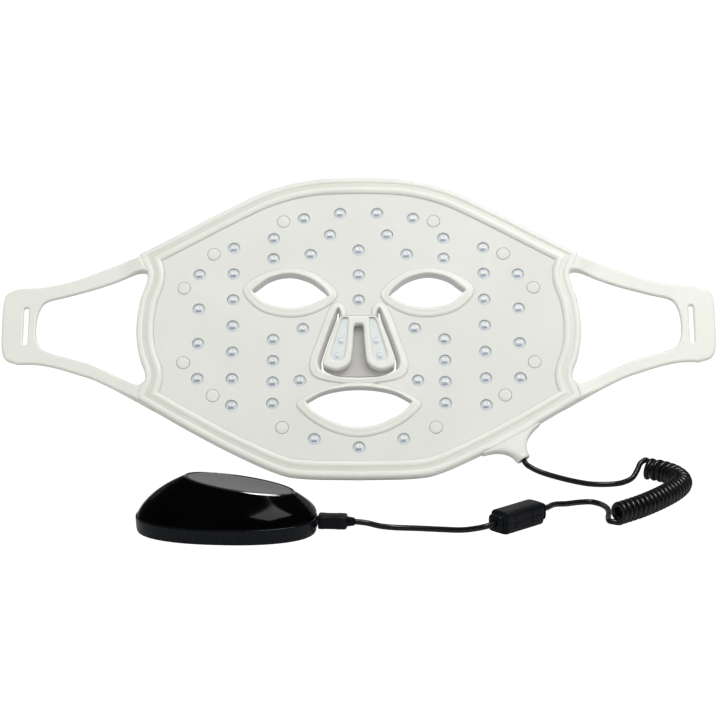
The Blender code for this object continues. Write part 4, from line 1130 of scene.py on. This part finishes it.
def capped(points, faces, sides=OVAL_SIDES):
    """Closes a stack of ovals with a point at the middle of its first and last one."""
    count = len(points) // sides
    faces = [tuple(f) for f in faces]
    for r in (0, count - 1):
        points = np.vstack([points, points[r * sides:(r + 1) * sides].mean(0)[None]])
        faces += [(r * sides + k, r * sides + (k + 1) % sides, len(points) - 1) for k in range(sides)]
    return points, faces


rises = np.linspace(0.0, 0.985, 44)
LIP = ((-0.02, 0.1), (0.15, 0.3), (0.4, 0.38), (0.65, 0.32), (0.85, 0.1), (0.95, -0.4), (0.95, -2.2))
rolled = [(KEY_LENGTH - 2 * d, KEY_WIDTH - 2 * d, *KEY_AT[:2], KEY_AT[2] + z, KEY_TILT) for d, z in LIP]
foot_rows = [(PAD_LENGTH - 2.4, PAD_WIDTH - 2.4, 0, 0, BASE_TOP + 0.05, 0),
             (PAD_LENGTH - 1.75, PAD_WIDTH - 1.75, 0, 0, BASE_TOP + 0.1, 0)]
well = (55.6, 26.6, *KEY_AT[:2], KEY_AT[2] - 2.4, KEY_TILT)
hollow = dome_rows(rises[:-1:3], 1.6, 1.0)[::-1]
hollow[:, 4] = np.maximum(hollow[:, 4], BASE_TOP + 0.12)
points, faces = ovals(np.vstack([foot_rows, dome_rows(rises), rolled, [well], hollow]))
here, last = np.arange(OVAL_SIDES), len(points) - OVAL_SIDES
after = (here + 1) % OVAL_SIDES
faces = np.vstack([faces, np.stack([last + here, last + after, after, here], 1)])
row, lip_start = np.arange(len(faces)) // OVAL_SIDES, len(foot_rows) + len(rises) - 1
lip_kinds = (row >= lip_start) & (row < lip_start + len(rolled) - 1)
dome = add_mesh("polished_dome", on_pad(points), faces, [GLOSS, LIP_GLOSS], "controller",
                ["controller_dome"], lip_kinds)
even_shading(tidy(dome, 0.000001), 40)

base_rows = [(PAD_LENGTH - 2 * d, PAD_WIDTH - 2 * d, 0, 0, z, 0) for d, z in
             ((8.0, 0.4), (1.5, 0.4), (0.9, 0.6), (0.6, 1.1), (0.35, 2.4), (0.15, 4.6), (0.05, 6.6),
              (0.0, 8.0), (0.08, 8.5), (0.35, 8.75), (1.4, 8.8), (2.0, 8.7), (2.1, 8.0), (3.0, 4.0),
              (4.5, 2.85), (10.0, 2.8))]
points, faces = capped(*ovals(base_rows))
base = add_mesh("controller_tub", on_pad(points), faces, BASE_GLOSS, "controller", ["controller_base"])
even_shading(tidy(base, 0.000001), 40)

key_rows = [(55.7 - 2 * d, 26.7 - 2 * d, *KEY_AT[:2], KEY_AT[2] + z, KEY_TILT) for d, z in
            ((0.3, -1.6), (0.0, -1.3), (0.0, -0.45), (0.1, -0.15), (0.35, 0.08), (0.8, 0.17), (2.0, 0.16),
             (4.5, 0.02), (8.0, -0.16), (11.0, -0.24))]
points, faces = capped(*ovals(key_rows))
key = add_mesh("oval_key", on_pad(points), faces, SATIN, "power_key", ["power_key"])
even_shading(tidy(key, 0.000001), 40)

# %% [markdown]
# ## The plug
# The plug's grip is a rounded block with shallow side grips, and a short ribbed sleeve
# leads the cord out of it.

# %% Grip, sleeve and metal shell
PLUG_AXIS, PORT_AXIS = 6.4, 6.1


def rounded_blocks(rows, power=4.0, z=PLUG_AXIS, sides=64):
    """Rounded oblong sections along the plug: (x, half width, half height)."""
    turn = np.linspace(0, 2 * math.pi, sides, endpoint=False)
    c, s = np.cos(turn), np.sin(turn)
    grow = (np.abs(c) ** power + np.abs(s) ** power) ** (-1 / power)
    x, a, b = np.asarray(rows, float).T[..., None]
    points = np.stack([x + 0 * turn, a * c * grow, z + b * s * grow], -1).reshape(-1, 3)
    return capped(points, grid_faces(len(rows), sides), sides)


FACE = PAD_LENGTH / 2 + 0.4
grip_rows = [(0.3, 3.9, 3.2), (0.42, 4.3, 3.6), (0.9, 4.58, 3.88), (3.0, 4.6, 3.9), (4.2, 4.4, 3.8),
             (9.5, 4.4, 3.8), (10.8, 4.6, 3.9), (14.2, 4.55, 3.85), (14.9, 4.3, 3.6), (15.25, 3.8, 3.2),
             (15.3, 3.2, 2.6)]
points, faces = rounded_blocks([(FACE + x, a, b) for x, a, b in grip_rows])
grip = add_mesh("plug_grip", on_pad(points), faces, MATTE, replaces=["plug_body"])
rib_sizes = [2.85 - 0.07 * k - 0.32 * (k % 2) for k in range(9)]
points, faces = rounded_blocks([(FACE + 15.6 + 0.45 * k, r, r) for k, r in enumerate(rib_sizes)], 2.0)
relief = add_mesh("plug_sleeve", on_pad(points), faces, MATTE, replaces=["plug_relief"])
tongue_rows = [(FACE - 5.2, 3.7, 0.85), (FACE - 5.1, 3.95, 1.05), (FACE - 0.1, 4.0, 1.1), (FACE, 3.9, 1.0)]
points, faces = rounded_blocks(tongue_rows, z=PORT_AXIS)
tongue = add_mesh("plug_tongue", on_pad(points), faces, STEEL, replaces=["plug_shell"])
port_rows = [(47.2, 5.0, 2.0), (47.95, 5.0, 2.0), (48.05, 4.9, 1.9), (48.05, 4.5, 1.5), (47.8, 4.45, 1.45)]
points, faces = rounded_blocks(port_rows, 6.0, PORT_AXIS)
port = add_mesh("charge_port", on_pad(points), faces, MATTE, "controller")
plug_slots = [(piece, "matte_black") for piece in (port, grip, relief)] + [(tongue, "plated_steel")]
for piece, name in plug_slots:
    even_shading(tidy(piece, 0.000001), 40)

# %% [markdown]
# Hidden parts keep their own solids, which are already the right shape: they only need
# their finishes.

# %% Finishes of the parts inside and underneath
KEPT = {"circuit_sheet": FILM, "controller_board": BOARD, "battery_cell": CELL, "charge_socket": STEEL,
        "tact_switch": MATTE}
KEPT.update({f"base_screw_{k}": STEEL for k in (1, 2)})
KEPT.update({f"rubber_foot_{k}": RUBBER for k in (1, 2, 3, 4)})
for name, finish in KEPT.items():
    node = nodes[name]
    if node.material_slots:
        for slot_ in node.material_slots:
            slot_.material = finish
    else:
        node.data.materials.append(finish)
print("kept parts with finishes:", len(KEPT))

# %% [markdown]
# ## Floor, light and camera
# Everything round the mask is white. To the camera the floor is an even glow, a little over
# white and without shadows; to every other ray it is a pale matt floor. The sky too is
# brighter to the camera than the light it gives, and dim to reflections. A broad lamp
# above and a softer one at each side model the silicone; a fourth makes highlights only.

# %% A pale floor and a white surround
bpy.ops.mesh.primitive_plane_add(size=6.0, location=(0, 0.5, -0.0005))
floor = bpy.context.object
floor.name = "pale_floor"
m, place = start("pale_floor")
mottled = noise(place, 2.0).between((0.60, 0.60, 0.60), (0.64, 0.64, 0.64))
settle(m, place, mottled, 0.9, Specular_IOR_Level=0.0)
tree = m.node_tree
glow, mixed, paths = (tree.nodes.new(f"ShaderNode{kind}") for kind in ("Emission", "MixShader", "LightPath"))
FLOOR_GLOW, SKY_LIGHT, SKY_SEEN, SKY_DIMMED = 1.1, 0.58, 0.52, 0.48
glow.inputs["Strength"].default_value = FLOOR_GLOW
tree.links.new(paths.outputs["Is Camera Ray"], mixed.inputs[0])
tree.links.new(tree.nodes["Principled BSDF"].outputs[0], mixed.inputs[1])
tree.links.new(glow.outputs[0], mixed.inputs[2])
tree.links.new(mixed.outputs[0], tree.nodes["Material Output"].inputs["Surface"])
floor.data.materials.append(m)
floor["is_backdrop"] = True

world = bpy.data.worlds.new("light_tent")
bpy.context.scene.world = world
world.use_nodes = True
tree = world.node_tree
paths = Wire(tree, tree.nodes.new("ShaderNodeLightPath").outputs["Is Camera Ray"])
shine = Wire(tree, paths.socket.node.outputs["Is Glossy Ray"])
background = tree.nodes["Background"]
background.inputs["Color"].default_value = (1, 1, 0.985, 1)
strength = SKY_LIGHT + SKY_SEEN * paths - SKY_DIMMED * shine
tree.links.new(strength.socket, background.inputs["Strength"])


def softbox(name, at, towards, width, height, watts, shines=False):
    """A rectangular lamp that faces a place. If it shines it makes highlights and lights nothing;
    if it doesn't, it gives soft light and makes no highlight."""
    lamp = bpy.data.lights.new(name, "AREA")
    lamp.shape, lamp.size, lamp.size_y, lamp.energy = "RECTANGLE", width, height, watts
    obj = bpy.data.objects.new(name, lamp)
    obj.location = at
    obj.rotation_euler = (Vector(towards) - Vector(at)).to_track_quat("-Z", "Y").to_euler()
    obj.visible_glossy, obj.visible_diffuse = shines, not shines
    bpy.context.scene.collection.objects.link(obj)


softbox("overhead", (0.25, -0.35, 1.5), (0, 0, 0.05), 1.4, 1.0, 13.0)
softbox("right_panel", (1.3, -0.9, 0.7), (0, 0, 0.08), 0.5, 1.0, 4.0)
softbox("left_panel", (-1.3, -0.7, 0.8), (0, 0, 0.08), 0.6, 1.0, 2.5)
softbox("glint", (0.40, -0.30, 1.32), (-0.07, -0.1, 0.03), 0.9, 0.4, 20.0, shines=True)

view = bpy.context.scene.view_settings
view.view_transform, view.look, view.exposure, view.gamma = "Standard", "None", 0.0, 1.0

camera_data = bpy.data.cameras.new("front")
LENS, SENSOR, FARTHEST = 122.6, 36.0, 20.0
CAMERA_TILT, CAMERA_ROLL = math.radians(77.0), math.radians(-0.15)
camera_data.lens, camera_data.sensor_width, camera_data.clip_end = LENS, SENSOR, FARTHEST
camera = bpy.data.objects.new("front", camera_data)
camera.location = (0.00097, -1.3304 + foot[1], 0.3767)
aimed = Matrix.Rotation(CAMERA_TILT, 3, "X") @ Matrix.Rotation(CAMERA_ROLL, 3, "Z")
camera.rotation_euler = aimed.to_euler()
bpy.context.scene.collection.objects.link(camera)
bpy.context.scene.camera = camera

# %% The visual model's box, next to the frame's
import json
low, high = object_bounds()
print("frame", [round(b - a, 4) for a, b in zip(cad_low, cad_high)], "finished", [round(b - a, 4) for a, b in zip(low, high)])
